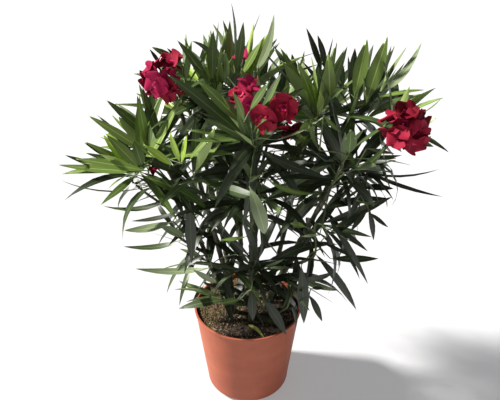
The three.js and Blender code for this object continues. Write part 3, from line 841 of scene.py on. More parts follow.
# Leaves that stand out on their own, by mass: foot and tip in the mass's measures, the way the upper
# side looks, the bend away from it in radians, half the width in millimetres, the tone, and, for a
# leaf that sways sideways, how far. Unlike the other tables, this one was written by another program:
# nearly all its feet and tips are as that program worked them out.
# Among the tones, lime is partly painted light through backlit leaves, deep and dark are partly painted shade
# low and inside the crown, and the last, pale tone is a painted sheen.
LONE_LEAVES = {
    "left_tip": (
        ((0.75, -0.25, 0.05), (-1.0, -0.25, 0.25), (0.1, -0.5, 0.9), -0.3, 9.0, FRESH),
        ((0.9, -0.45, 0.65), (-0.3, -0.15, 1.75), (0.6, -0.7, 0.6), 0.15, 9.5, FRESH),
        ((0.65, -0.7, 0.45), (0.1, -0.7, 1.5), (0.5, -0.8, 0.6), 0.2, 10.0, FRESH),
        ((0.8, -0.55, 0.25), (-0.55, -0.55, 0.65), (0.2, -0.7, 0.8), 0.15, 9.0, FRESH),
        ((0.75, -0.35, -0.4), (-0.95, -0.35, -0.2), (0.0, 0.3, 1.0), -0.8, 4.0, DEEP),
        ((0.3, -0.1, 0.15), (-0.5, 0.0, 0.8), (0.2, -0.6, 0.8), -0.25, 6.5, DEEP),
        ((0.3, -0.3, 0.25), (-0.45, -0.2, 0.6), (0.2, -0.6, 0.8), 0.25, 5.0, DARK),
        ((0.7, -0.6, 0.35), (0.55, -0.5, 1.2), (0.5, -0.8, 0.2), 0.2, 10.0, MID),
    ),
    "left_head": (
        ((0.3, -0.85, -0.25), (-0.7, -0.65, 0.85), (0.6, -0.7, 0.5), 0.15, 10.0, MID),
    ),
    "left_front": (
        ((-0.6, 0.45, 0.05), (-1.0, 0.65, 1.65), (0.7, -0.6, 0.3), 0.1, 10.0, DEEP),
        ((0.0, -0.5, 0.3), (-0.2, -0.5, 1.1), (-0.4, -0.8, 0.5), 0.1, 6.5, LIME),
        ((-0.15, -0.7, 0.35), (-0.8, -0.7, 0.9), (-0.2, -0.8, 0.7), 0.3, 6.5, LIME),
        ((0.05, -0.6, 0.35), (0.2, -0.55, 1.05), (-0.5, -0.8, 0.4), 0.2, 5.5, LIME),
        ((0.2, -0.4, 0.3), (0.85, -0.4, 1.05), (-0.5, -0.6, 0.5), 0.35, 5.0, FRESH),
    ),
    "left_bloom": (
        ((0.35, 0.1, 0.5), (-0.5, 0.1, 1.05), (0.4, -0.6, 0.7), 0.35, 7.5, MID),
        ((-0.3, 0.2, 0.45), (-0.6, 0.2, 0.95), (0.6, -0.6, 0.5), 0.2, 4.0, DARK),
        ((0.2, 0.3, 0.6), (-0.1, 0.3, 0.95), (0.5, -0.6, 0.6), 0.2, 3.5, DARK),
    ),
    "top_left": (
        ((-0.05, -0.85, -0.05), (-0.85, -0.6, 0.95), (0.6, -0.8, 0.4), 0.35, 9.5, MID),
        ((0.0, -0.7, 0.0), (0.05, -0.5, 1.15), (0.1, -1.0, 0.1), 0.1, 8.5, MID),
        ((0.35, -0.85, -0.05), (0.35, -0.85, 0.8), (-0.2, -0.9, 0.1), 0.1, 9.5, MID),
        ((0.1, 0.0, 0.25), (-0.55, 0.25, 0.7), (0.4, -0.4, 0.8), 1.1, 6.5, DARK),
        ((0.0, -0.5, 0.15), (-0.05, -0.5, 1.1), (-0.6, -0.8, 0.2), 0.15, 3.5, FRESH),
        ((0.25, -0.4, 0.25), (0.35, -0.4, 0.95), (0.5, -0.8, 0.3), 0.15, 3.5, DEEP),
    ),
    "top_centre": (
        ((-0.45, -0.2, 0.05), (-0.5, -0.2, 1.3), (1.0, -0.5, 0.1), 0.35, 5.0, MID),
        ((-0.4, -0.8, -0.2), (-0.2, -0.7, 1.0), (0.5, -0.9, 0.2), 0.15, 9.0, MID),
        ((0.05, -0.7, -0.15), (0.55, -0.6, 1.15), (-0.6, -0.8, 0.5), -0.4, 9.0, PAINTED_SHEEN, 0.3),
        ((-0.25, -1.05, -0.1), (0.25, -1.05, 0.7), (-0.6, -0.8, 0.5), 0.1, 7.5, FRESH),
    ),
    "centre_bloom": (
        ((-0.25, -0.55, -0.2), (-1.75, -0.2, 1.1), (0.5, -0.9, 0.7), 0.2, 11.5, DEEP),
        ((-0.3, -0.55, 0.1), (-1.2, -0.2, 1.0), (0.5, -0.9, 0.7), 0.25, 10.0, MID),
        ((-0.3, -0.95, 0.4), (-0.5, -0.95, 1.05), (0.5, -0.9, 0.4), 0.3, 5.5, FRESH),
        ((-0.2, -0.85, 0.6), (0.15, -0.8, 1.2), (-0.7, -0.8, 0.4), 0.2, 6.5, MID),
        ((0.35, -0.75, -0.1), (1.2, -0.8, 0.45), (-0.3, -0.2, 0.9), -0.5, 3.5, PAINTED_SHEEN),
    ),
    "centre_back": (
        ((-0.05, -0.55, 0.0), (-0.05, -0.55, 1.0), (0.4, -0.9, 0.1), 0.2, 9.0, DEEP),
        ((-0.5, -0.55, 0.55), (-0.05, -0.55, 1.2), (-0.6, -0.8, 0.2), 0.2, 5.0, PAINTED_SHEEN),
        ((-0.75, -0.6, 0.3), (-0.45, -0.5, 0.95), (0.4, -0.8, 0.4), 0.3, 7.0, DEEP),
        ((0.35, -0.3, 0.3), (0.25, -0.2, 1.05), (0.5, -0.8, 0.4), 0.2, 8.0, DEEP),
    ),
    "right_top": (
        ((0.4, 0.15, 0.15), (-0.1, 0.35, 1.05), (0.7, -0.7, 0.4), 0.1, 8.5, DARK),
        ((0.55, 0.15, 0.2), (0.25, 0.35, 0.9), (0.6, -0.7, 0.3), 0.1, 8.0, DARK),
        ((0.6, -0.55, -0.2), (0.45, -0.65, 0.8), (-0.1, -0.9, 0.3), 1.2, 11.0, FRESH),
        ((1.1, 0.05, -0.2), (0.95, 0.25, 0.45), (0.2, -0.9, 0.2), 0.1, 6.0, DEEP),
    ),
    "right_head": (
        ((-0.3, -0.7, -0.1), (-0.05, -0.3, 1.05), (-0.15, -0.9, 0.3), 0.1, 13.0, FRESH),
        ((0.0, -0.6, -0.3), (0.4, -0.3, 1.1), (-0.3, -0.9, 0.4), 0.15, 13.5, FRESH),
        ((0.4, -0.3, -0.15), (1.2, -0.2, 0.95), (-0.6, -0.8, 0.5), -0.5, 8.0, PAINTED_SHEEN, 0.3),
        ((0.25, -0.2, -0.15), (0.7, 0.2, 0.75), (-0.2, -0.9, 0.3), 0.2, 4.0, DEEP),
        ((0.45, -0.4, -0.6), (1.0, -0.4, -0.05), (-0.3, -0.7, 0.6), 0.2, 6.0, DEEP),
        ((-0.45, -0.7, -0.8), (-0.25, -0.9, 0.2), (0.5, -0.8, 0.3), 0.2, 5.0, FRESH),
        ((-0.3, 0.1, -0.15), (-0.2, 0.35, 0.65), (0.4, -0.9, 0.2), 0.1, 9.5, DARK),
        ((0.25, -0.4, -0.25), (1.35, -0.4, -0.05), (-0.1, -0.3, 0.9), 0.3, 5.0, FRESH),
    ),
    "right_bloom": (
        ((0.15, -0.55, 0.55), (0.6, -0.65, 1.05), (-0.5, 0.3, 0.8), -0.7, 5.0, MID),
        ((0.4, -0.2, 0.05), (0.65, -0.3, 0.3), (-0.1, -0.5, 0.9), 0.2, 5.0, FRESH),
        ((-0.05, -0.45, -0.25), (0.6, -0.55, -0.4), (0.0, -0.6, 0.8), 0.3, 6.5, DEEP),
        ((-1.1, -0.65, -0.4), (-0.4, -0.65, -0.55), (0.2, -0.5, 0.8), -0.3, 4.5, PAINTED_SHEEN),
    ),
    "right_front": (
        ((-0.05, -0.65, 0.45), (-0.6, -0.65, 1.65), (0.7, -0.7, 0.3), 0.5, 8.5, DARK),
        ((0.05, -0.75, 0.8), (0.05, -0.75, 1.45), (0.1, -0.9, 0.3), 0.3, 11.0, MID),
        ((-0.55, -0.85, 0.95), (-0.75, -0.85, 1.8), (0.6, -0.6, 0.5), -0.9, 5.5, MID),
        ((-0.5, -0.75, 1.85), (-0.15, -0.85, 1.45), (0.4, -0.6, 0.8), -0.8, 5.0, FRESH),
    ),
    "right_arm": (
        ((-0.9, -0.55, 0.5), (0.9, -0.75, -0.6), (0.1, -0.4, 0.9), -0.55, 5.5, DARK),
        ((-0.9, -0.45, 0.3), (0.8, -0.55, 0.3), (0.0, -0.3, 1.0), -1.1, 4.0, DEEP),
        ((-0.65, -0.55, -0.4), (-0.05, -0.65, -0.4), (0.0, -0.6, 0.8), 0.2, 7.5, DARK),
        ((-0.65, -0.3, 0.5), (-0.05, -0.55, -1.1), (0.6, -0.3, 0.8), 2.3, 5.5, DARK),
        ((-1.15, -0.65, 0.15), (-0.05, -0.95, 0.0), (0.0, -0.3, 0.95), 0.7, 4.5, DARK),
        ((-0.65, -0.3, 0.6), (0.1, -0.3, 0.65), (0.0, -0.4, 0.9), -0.6, 6.0, DEEP),
    ),
    "inner_front": (
        ((-0.05, -0.85, 1.05), (0.2, -1.0, -0.2), (0.1, -0.9, 0.5), 1.7, 12.0, PAINTED_SHEEN),
        ((0.25, -0.6, 1.1), (1.1, -0.6, 0.7), (0.1, -0.7, 0.7), -0.6, 5.0, FRESH, 0.35),
        ((-0.1, -0.9, -0.4), (-0.55, -0.9, -0.5), (0.0, -0.5, 0.85), -0.5, 4.0, FRESH),
        ((1.15, -0.9, -0.35), (0.85, -0.9, -0.4), (0.0, -0.6, 0.8), 0.2, 3.0, PAINTED_SHEEN),
        ((0.9, -0.9, -0.1), (0.65, -0.9, 0.0), (0.2, -0.7, 0.7), 0.2, 5.0, FRESH),
    ),
    "left_skirt": (
        ((0.6, -0.65, 1.05), (0.6, -0.85, -0.95), (0.1, -0.9, 0.4), 0.2, 10.5, DARK),
        ((-0.1, -0.55, 1.4), (-0.75, -0.65, -0.3), (-0.4, -0.8, 0.4), 0.9, 7.5, DEEP, 0.6),
        ((-0.15, -0.35, 1.55), (-0.8, -0.45, 0.6), (-0.6, -0.5, 0.6), 1.6, 4.5, DARK),
        ((0.25, -0.55, 1.1), (-1.05, -0.55, 0.75), (0.0, -0.55, 0.8), -0.9, 6.0, DEEP, -0.35),
        ((0.45, -0.55, 0.6), (-0.55, -0.55, 0.25), (0.0, -0.3, 0.9), -0.6, 5.5, DARK),
        ((0.25, -0.65, 0.3), (-0.7, -0.65, 0.0), (0.0, -0.6, 0.8), -1.1, 8.5, PAINTED_SHEEN),
        ((0.45, -0.55, -0.4), (-0.75, -0.55, -0.65), (0.0, -0.35, 0.9), -1.0, 6.5, DEEP),
        ((0.5, -0.65, -0.25), (0.0, -0.65, 0.15), (0.0, -0.8, 0.6), 0.2, 8.0, PAINTED_SHEEN),
        ((-0.15, -0.4, 1.45), (-0.65, -0.4, 1.1), (-0.2, -0.4, 0.9), 0.4, 4.0, DARK),
    ),
    "left_foot": (
        ((0.7, -0.4, 0.65), (-1.15, -0.4, 0.6), (0.0, -0.5, 0.85), -0.95, 7.5, PAINTED_SHEEN),
        ((0.8, -0.4, -0.15), (0.25, -0.5, 0.6), (-0.4, -0.7, 0.6), 0.1, 6.5, PAINTED_SHEEN),
        ((0.6, -0.4, 1.3), (-0.15, -0.4, 0.5), (-0.2, -0.5, 0.8), 0.5, 6.0, DARK),
    ),
    "left_low": (
        ((0.45, -0.35, 0.6), (-2.0, -0.55, 0.1), (0.0, -0.5, 0.9), 0.5, 9.5, DEEP),
        ((0.45, -0.35, 0.5), (1.5, -0.65, 0.4), (0.0, -0.4, 0.9), 0.5, 8.0, DARK),
    ),
    "inner_low": (
        ((-0.25, -0.65, -0.45), (-0.2, -0.95, -1.5), (0.1, -0.9, 0.2), 0.3, 9.5, DARK),
        ((0.05, -0.65, -0.7), (0.85, -0.55, -2.45), (0.3, -0.7, 0.6), 0.4, 11.0, DARK),
        ((-0.6, -0.75, -0.8), (-1.15, -0.95, -0.8), (0.0, -0.5, 0.9), 0.4, 7.0, DEEP),
        ((-0.4, 0.1, -2.55), (0.15, -0.75, -2.45), (0.2, -0.3, 1.0), 0.9, 4.5, AGEING),
    ),
    "right_skirt": (
        ((-0.05, -0.35, 2.0), (0.55, -0.45, 1.35), (0.3, -0.6, 0.8), 0.9, 10.0, DARK),
        ((0.45, -0.45, 1.3), (0.6, -0.65, 0.5), (0.5, -0.8, 0.3), 0.3, 6.5, DARK),
        ((0.45, -0.45, 1.25), (0.1, -0.65, 0.75), (-0.4, -0.8, 0.4), 0.5, 5.5, DARK),
        ((0.5, -0.45, 1.15), (0.9, -0.55, 0.8), (0.3, -0.7, 0.7), -0.3, 5.0, DARK),
        ((-0.45, -0.45, 1.1), (0.55, -0.65, -0.8), (0.4, -0.7, 0.6), 0.3, 7.5, DARK),
        ((-0.35, -0.25, 0.35), (0.35, -0.35, 1.05), (-0.2, -0.7, 0.7), 0.3, 9.0, DARK),
        ((-0.2, -0.25, 0.6), (0.55, -0.25, -0.1), (0.0, -0.5, 0.85), 0.3, 5.5, DARK),
        ((-0.25, -0.25, -0.35), (0.8, -0.25, -0.35), (0.0, -0.6, 0.8), -0.2, 8.0, DARK),
        ((0.15, -0.7, 1.65), (0.6, -0.7, 1.55), (0.0, -0.4, 0.9), -1.0, 3.0, FRESH),
        ((-0.5, -0.3, 0.2), (0.2, -0.3, -0.25), (0.1, -0.5, 0.9), 0.2, 4.5, DARK),
    ),
    "right_foot": (
        ((0.3, -0.05, 2.1), (1.8, 0.1, -0.75), (0.4, -0.7, 0.5), 0.5, 9.5, DARK),
        ((-0.1, -0.45, 1.8), (0.05, -0.65, -0.8), (0.1, -0.9, 0.2), 0.3, 12.0, DARK),
        ((0.2, -0.35, 0.3), (0.65, -0.55, -0.85), (0.4, -0.8, 0.3), 0.3, 7.5, DARK),
        ((0.25, -0.4, 0.65), (0.65, -0.4, 0.65), (0.0, -0.6, 0.8), 0.2, 4.0, DARK),
        ((0.2, -0.2, 0.15), (0.6, -0.2, -0.55), (0.3, -0.7, 0.6), 0.2, 3.5, DARK),
    ),
    "inner_back": (
        ((1.85, -1.35, 0.35), (1.4, -1.2, 1.8), (0.5, -0.8, 0.3), 0.3, 9.0, DARK),
        ((1.7, -1.35, 0.4), (2.15, -1.05, 1.9), (-0.3, -0.9, 0.3), 0.3, 9.0, DEEP),
        ((1.55, -1.35, 0.35), (0.95, -1.05, 1.55), (0.5, -0.8, 0.4), 0.3, 8.0, DARK),
        ((1.25, -1.35, -0.05), (0.6, -1.05, 1.15), (0.5, -0.7, 0.5), 0.3, 9.0, DARK),
        ((1.6, -1.35, 0.2), (0.6, -1.05, 0.6), (0.0, -0.6, 0.8), 0.4, 8.0, DARK),
        ((1.85, -1.35, 0.15), (2.8, -1.35, 0.9), (0.0, -0.6, 0.8), 0.2, 8.0, DARK),
        ((1.7, -1.35, 0.15), (2.65, -1.35, -0.35), (0.0, -0.6, 0.8), 0.3, 8.0, DARK),
        ((1.8, -1.35, 0.0), (0.9, -1.05, -0.65), (0.0, -0.6, 0.8), 0.3, 8.0, DARK),
        ((0.2, -0.9, -0.2), (1.0, -0.9, 0.75), (-0.3, -0.7, 0.7), 0.3, 8.0, DARK),
    ),
}

# Leaves that last on the stems and boughs below the shoots.
OLD_LEAVES = {
    "first": 0.03,  # back from the limb's tip
    "room": 0.034,  # between whorls
    "room_share": (0.8, 1.25),
    "lowest": 0.262,  # height below which there are none
    "kept": 0.5,  # share of the leaves that haven't dropped
    "astray": 0.2,
    "lean": (math.radians(68), math.radians(108)),
    "length": (0.115, 0.175),
    "droop": (0.5, 1.6),
    "uneven": 0.15,
    # mostly dark: old leaves, and painted shade low in the crown
    "tones": (DEEP, DARK, DARK, DARK),
}


def square_to(direction):
    """A level direction at right angles to another."""
    other = UP if abs(direction.z) < 0.9 else FRONT
    return direction.cross(other).normalized()


def outward(axis, turn):
    """The direction straight out from an axis at an angle round it."""
    level = square_to(axis)
    return level * math.cos(turn) + axis.cross(level) * math.sin(turn)


def leaning(axis, out, lean):
    """The direction that leaves an axis at an angle, towards a direction square to it."""
    return (axis * math.cos(lean) + out * math.sin(lean)).normalized()


def tapered(first, last, steps):
    """Radii that change evenly along a path of so many steps."""
    return [first + (last - first) * i / steps for i in range(steps + 1)]


def bent_path(start, heading, goal, arrival, steps):
    """Points from a start to a goal, which set out along one heading and arrive along another."""
    pull = (goal - start).length * 0.4
    lead = start + heading * pull
    trail = goal - arrival * pull
    path = []
    for i in range(steps + 1):
        s = i / steps
        early = start * (1 - s) ** 3 + lead * 3 * s * (1 - s) ** 2
        path.append(early + trail * 3 * s * s * (1 - s) + goal * s ** 3)
    return path


def path_length(points):
    return sum((b - a).length for a, b in zip(points, points[1:]))


def along_path(points, distance):
    """The point and direction at a distance back from a path's end."""
    for b, a in zip(reversed(points), reversed(points[:-1])):
        run = (b - a).length
        if distance <= run:
            return b.lerp(a, distance / run), (b - a).normalized()
        distance -= run
    return points[0], (points[1] - points[0]).normalized()


class Crown:
    """The growing plant: its masses, and the leaves and shoots so far."""

    def __init__(self, masses):
        self.masses = masses
        self.leaves = {slot: [] for slot in HABIT}
        self.shoots = []
        self.wood = []
        self.low = cad_box[0] - PROUD
        self.high = cad_box[1] + PROUD

    def holds(self, point):
        """Whether a point lies within reach of some mass and clear of the pot."""
        if point.z < POT_HIGH.z + POT_CLEARANCE:
            return False
        if any(not low < x < high for low, x, high in zip(self.low, point, self.high)):
            return False
        return min(mass.away(point) for mass in self.masses.values()) < CROWN_EDGE

    def nearest_wood(self, point):
        """The place on a limb or shoot that lies closest to a point."""
        return min(self.wood, key=lambda place: (place - point).length)

    def fitted(self, root, along, length):
        """The length at which a leaf's tip stays in the crown, or None."""
        for share in TRIED_LENGTHS:
            if self.holds(root + along * length * share * FELT_LENGTH):
                return length * share
        return None

    def add_leaf(self, rng, slot, root, along, face, length, tone, droop, uneven):
        """A leaf of a kind's usual breadth, with a bend, fold and ripple of its own."""
        face = (face - along * face.dot(along)).normalized()
        width = LEAF["narrow"] + HABIT[slot]["slender"] * length
        bend = rng.gauss(droop, uneven) or 0.01
        curl = (bend, rng.gauss(0, LEAF["sway"] * uneven), rng.gauss(0, LEAF["twist"]))
        shape = (rng.uniform(*LEAF["fold"]), rng.uniform(*LEAF["ripple"]), rng.uniform(0, math.tau))
        span = (length, width * rng.uniform(*LEAF["breadth"]), LEAF["thickness"])
        self.leaves[slot].append(Blade(root, along, face, span, curl, shape, tone))

    def whorl(self, rng, mass, place, axis, age, turn, tone):
        """Leaves round a shoot; age is 0 at the shoot's tip and 1 at its oldest leaf."""
        habit = HABIT[mass.slot]
        maturity = min(1.0, age / LEAF["grown_at"])
        more = (LEAF["longest"] - LEAF["shortest"]) * maturity ** LEAF["growth_curve"]
        size = LEAF["shortest"] + more
        opened = (habit["open"] - LEAF["closed"]) * age ** LEAF["open_curve"]
        for i in range(WHORL):
            out = outward(axis, turn + math.tau * i / WHORL + rng.gauss(0, LEAF["astray"]))
            lean = LEAF["closed"] + opened + rng.gauss(0, LEAF["lean_astray"])
            along = leaning(axis, out, lean)
            root = place + out * LEAF["off_axis"]
            length = self.fitted(root, along, size * rng.uniform(*LEAF["vigour"]))
            if length is None:
                continue
            inner = axis * math.sin(lean) - out * math.cos(lean)
            face = inner + UP * LEAF["to_light"]
            # Leaves lower on a shoot are older and darker; the darkening is also painted shade.
            step = -1 if age < LEAF["new_until"] else 0
            step += sum(age > start for start in LEAF["darker_from"])
            step += 1 if age > LEAF["darker_from"][1] and rng.random() < 0.5 else 0
            shade = max(LIME, min(DARK, tone + step))
            droop = habit["droop"] * (0.3 + age) + 0.1 * age
            self.add_leaf(rng, mass.slot, root, along, face, length, shade, droop, habit["uneven"])

    def shoot(self, rng, mass, start, heading, goal, arrival, girth, whorls, tone):
        """A green shoot with whorls of leaves down from its tip."""
        habit = HABIT[mass.slot]
        path = bent_path(start, heading, goal, arrival, SHOOT["steps"])
        self.shoots.append((path, tapered(girth, SHOOT["tip_radius"], SHOOT["steps"])))
        self.wood.extend(path)
        turn = rng.uniform(0, math.tau)
        length = path_length(path)
        back = 0.0
        for number in range(whorls):
            if back > length:
                break
            place, axis = along_path(path, back)
            self.whorl(rng, mass, place, axis, number / (whorls - 1), turn, tone)
            turn += math.pi / WHORL
            room = SHOOT["tip_room"] + SHOOT["more_room"] * min(1, number / SHOOT["full_room_at"])
            back += habit["room"] * room * rng.uniform(*SHOOT["room_share"])

    def fill(self, limb, seed):
        """Grows a limb's mass: shoots fan out from the limb's tip to heads of their own."""
        rng = random.Random(seed)
        mass = limb.mass
        self.wood.extend(limb.points)
        place, way, shoots, whorls, tones = HEADS[mass.name]
        head = mass.place(*place)
        lean = Vector(way).normalized()
        heading = (limb.heading() + lean * SHOOT["set_out"]).normalized()
        start = limb.points[-1]
        girth = min(limb.radii[-1] * SHOOT["taken_up"], SHOOT["base_radius"])
        for number in range(shoots):
            jitter = rng.uniform(-SHOOT["jitter"], SHOOT["jitter"])
            way = outward(lean, GOLDEN_TURN * number + jitter)
            spread = SHOOT["spread"] * math.sqrt((number + 0.35) / shoots)
            goal = head + (mass.place(*(way * spread)) - mass.centre)
            arrival = (lean + way * SHOOT["fan"] * rng.uniform(*SHOOT["fan_share"])).normalized()
            tone = tones[number % len(tones)]
            self.shoot(rng, mass, start, heading, goal, arrival, girth, whorls, tone)

    def twig(self, end):
        """A thin green twig out to a leaf's foot from the wood nearest to it."""
        start = self.nearest_wood(end)
        reach = (end - start).length
        if reach < TWIG["shortest"]:
            return
        way = (end - start).normalized()
        path = bent_path(start, (way + UP * TWIG["lift"]).normalized(), end, way, TWIG["steps"])
        self.shoots.append((path, tapered(TWIG["foot"], TWIG["tip"], TWIG["steps"])))
        self.wood.extend(path[1:])

    def lone_leaves(self):
        """The leaves that are placed one by one, each bent in an arc from its foot to its tip."""
        rng = random.Random(SEEDS["lone_leaves"])
        for name, leaves in LONE_LEAVES.items():
            mass = self.masses[name]
            for foot, tip, face, bend, half_width, tone, *sway in leaves:
                root = mass.place(*foot)
                self.twig(root)
                sway = sway[0] if sway else 0.0
                chord = (mass.place(*tip) - root) * TIP_REACH
                way = chord.normalized()
                look = Vector(face)
                look = (look - way * look.dot(way)).normalized()
                way = (way - look.cross(way) * sway).normalized()
                along = way * math.cos(bend / 2) + look * math.sin(bend / 2)
                upper = look * math.cos(bend / 2) - way * math.sin(bend / 2)
                length = chord.length / math.hypot(1, sway) * (bend / 2) / math.sin(bend / 2)
                span = (length, half_width * MM, LEAF["thickness"])
                curl = (bend, sway, rng.uniform(-LONE["twist"], LONE["twist"]))
                shape = (rng.uniform(*LONE["fold"]), LONE["ripple"], rng.uniform(0, math.tau))
                self.leaves[mass.slot].append(Blade(root, along, upper, span, curl, shape, tone))

    def clothe(self, limb, seed):
        """Long drooping leaves down a stem or bough, in whorls that have lost some of theirs."""
        rng = random.Random(seed)
        length = path_length(limb.points)
        back = OLD_LEAVES["first"]
        turn = rng.uniform(0, math.tau)
        while back < length:
            place, axis = along_path(limb.points, back)
            back += OLD_LEAVES["room"] * rng.uniform(*OLD_LEAVES["room_share"])
            turn += math.pi / WHORL
            if place.z < OLD_LEAVES["lowest"]:
                continue
            for i in range(WHORL):
                if rng.random() > OLD_LEAVES["kept"]:
                    continue
                out = outward(axis, turn + math.tau * i / WHORL + rng.gauss(0, OLD_LEAVES["astray"]))
                lean = rng.uniform(*OLD_LEAVES["lean"])
                along = leaning(axis, out, lean)
                reach = self.fitted(place, along, rng.uniform(*OLD_LEAVES["length"]))
                if reach is None:
                    continue
                face = axis * math.sin(lean) - out * math.cos(lean) + UP * LEAF["to_light"]
                tone = rng.choice(OLD_LEAVES["tones"])
                droop = rng.uniform(*OLD_LEAVES["droop"])
                uneven = OLD_LEAVES["uneven"]
                self.add_leaf(rng, "leaf_old", place, along, face, reach, tone, droop, uneven)


# ---- pot and compost -------------------------------------------------------------------------------
def turned(name, profile, sides):
    """A closed solid turned about Z from a profile of (radius, height) that starts and ends on the axis."""
    corners = []
    rings = []
    for radius, height in profile:
        if radius == 0:
            rings.append([len(corners)])
            corners.append(Vector((0, 0, height)))
            continue
        rings.append(range(len(corners), len(corners) + sides))
        turns = [math.tau * i / sides for i in range(sides)]
        corners.extend(Vector((radius * math.cos(t), radius * math.sin(t), height)) for t in turns)
    faces = []
    for lower, upper in zip(rings, rings[1:]):
        for i in range(sides):
            places = ((lower, i), (lower, i + 1), (upper, i + 1), (upper, i))
            faces.append(list(dict.fromkeys(ring[place % len(ring)] for ring, place in places)))
    mesh = bpy.data.meshes.new(name)
    mesh.from_pydata(corners, [], faces)
    mesh.shade_smooth()
    return mesh


def arc(centre, radius, start, end, steps):
    """(radius, height) pairs round an arc, in degrees from level."""
    turns = [math.radians(start + (end - start) * i / steps) for i in range(steps + 1)]
    return [(centre[0] + radius * math.cos(t), centre[1] + radius * math.sin(t)) for t in turns]


POT = {
    "wall": 2.2 * MM, "floor": 3 * MM, "heel": 16 * MM, "foot_radius": 92 * MM,
    "lip_height": 9 * MM, "lip_out": 2 * MM, "lip_round": 1 * MM,
    "drain_radius": 6 * MM, "drain_circle": 58 * MM, "drain_holes": 6,
    "rings": (0.31, 0.36, 0.62), "ring_relief": 0.22 * MM, "ring_width": 1.6 * MM, "warp": 0.5 * MM,
    "calm_height": 30 * MM, "rows": 60, "inner_rows": 12, "sides": 144, "drain_sides": 24,
    "sharp_from": math.radians(40),
}


def wall_radius(height):
    """The pot's outer radius at a height, below its lip."""
    slope = (POT_HIGH.x - POT["lip_out"] - POT["foot_radius"]) / POT_HIGH.z
    return POT["foot_radius"] + slope * height


def pot_profile():
    """Round the pot's wall: out over the underside, up to the lip, and down the inside."""
    height, rim = POT_HIGH.z, POT_HIGH.x
    lip_base = height - POT["lip_height"]
    heel = (wall_radius(POT["heel"]) - POT["heel"], POT["heel"])
    inner_heel = POT["heel"] - POT["wall"]
    rows, inner_rows = POT["rows"], POT["inner_rows"]
    wall = [POT["heel"] + (lip_base - POT["heel"]) * i / rows for i in range(1, rows + 1)]
    inner = [height - (height - POT["heel"]) * i / inner_rows for i in range(inner_rows)]
    return [
        (0, 0),
        *arc(heel, POT["heel"], -90, 0, 10),
        *[(wall_radius(z), z) for z in wall],
        (wall_radius(lip_base) + POT["lip_out"] * 0.8, lip_base + POT["lip_out"] * 0.4),
        (wall_radius(lip_base) + POT["lip_out"], lip_base + POT["lip_out"]),
        *arc((rim - POT["lip_round"], height - POT["lip_round"]), POT["lip_round"], 0, 90, 5),
        *[(wall_radius(z) - POT["wall"], z) for z in inner],
        *arc((heel[0], POT["floor"] + inner_heel), inner_heel, 0, -90, 8),
        (0, POT["floor"]),
    ]


def drain_cutters():
    """Upright cylinders through the floor of the pot, one for each drain hole."""
    cutters = bmesh.new()
    radius = POT["drain_radius"]
    for i in range(POT["drain_holes"]):
        turn = math.tau * i / POT["drain_holes"]
        at = (POT["drain_circle"] * math.cos(turn), POT["drain_circle"] * math.sin(turn), 0)
        bmesh.ops.create_cone(cutters, cap_ends=True, segments=POT["drain_sides"], radius1=radius,
                              radius2=radius, depth=10 * POT["floor"], matrix=Matrix.Translation(at))
    mesh = bpy.data.meshes.new("drain_cutters")
    cutters.to_mesh(mesh)
    cutters.free()
    return linked("drain_cutters", mesh)


def pot_piece():
    """The pot, slightly out of round, with faint moulding rings and its drain holes."""
    mesh = turned("pot_start", pot_profile(), POT["sides"])
    still = POT["heel"] * 0.5  # the pot is truly round up to here
    for vertex in mesh.vertices:
        co = vertex.co
        around = Vector((co.x, co.y, 0))
        if co.z < still or around.length == 0:
            continue
        out = around.normalized()
        levels = [share * POT_HIGH.z for share in POT["rings"]]
        ring = sum(math.exp(-((co.z - level) / POT["ring_width"]) ** 2) for level in levels)
        warp = noise.noise(Vector((out.x * 1.3, out.y * 1.3, co.z * 6))) * POT["warp"]
        calm = min(1.0, (co.z - still) / POT["calm_height"])
        vertex.co = co + out * (warp - 0.4 * POT["warp"] + POT["ring_relief"] * ring) * calm
    drains = drain_cutters()
    shell = linked("pot_start", mesh)
    cut = shell.modifiers.new("drains", "BOOLEAN")
    cut.operation = "DIFFERENCE"
    cut.solver = "EXACT"
    cut.object = drains
    made = made_plain("pot_shell", shell)
    bpy.data.objects.remove(drains)
    made.materials.clear()
    made.materials.append(pot_finish())
    made.set_sharp_from_angle(angle=POT["sharp_from"])
    return placed("pot_shell", made, ["pot"])


COMPOST = {
    "gap": 0.3 * MM, "edge_width": 9 * MM, "edge_drop": 1.2 * MM, "edge_calm": 6 * MM, "bare_edge": 4 * MM,
    "lumps": 5.5 * MM, "rows": 46, "side_rows": 6, "sides": 170,
}


def compost_height(x, y):
    """The lumpy surface: how far it lies above its mean level."""
    broad = noise.noise(Vector((x * 14, y * 14, 3.1)))
    fine = noise.fractal(Vector((x * 70, y * 70, 7.7)), 0.8, 2.1, 4)
    return COMPOST["lumps"] * (0.7 * broad + 0.42 * fine)


def moss_cover(x, y):
    """Where moss grows: the left and the back left of the surface, 0 to 1."""
    lean = (-x * 0.8 + y * 0.45) / POT_HIGH.x
    patch = noise.noise(Vector((x * 22, y * 22, 1.3)))
    return max(0.0, min(1.0, 0.40 + 1.5 * lean + 0.8 * patch))


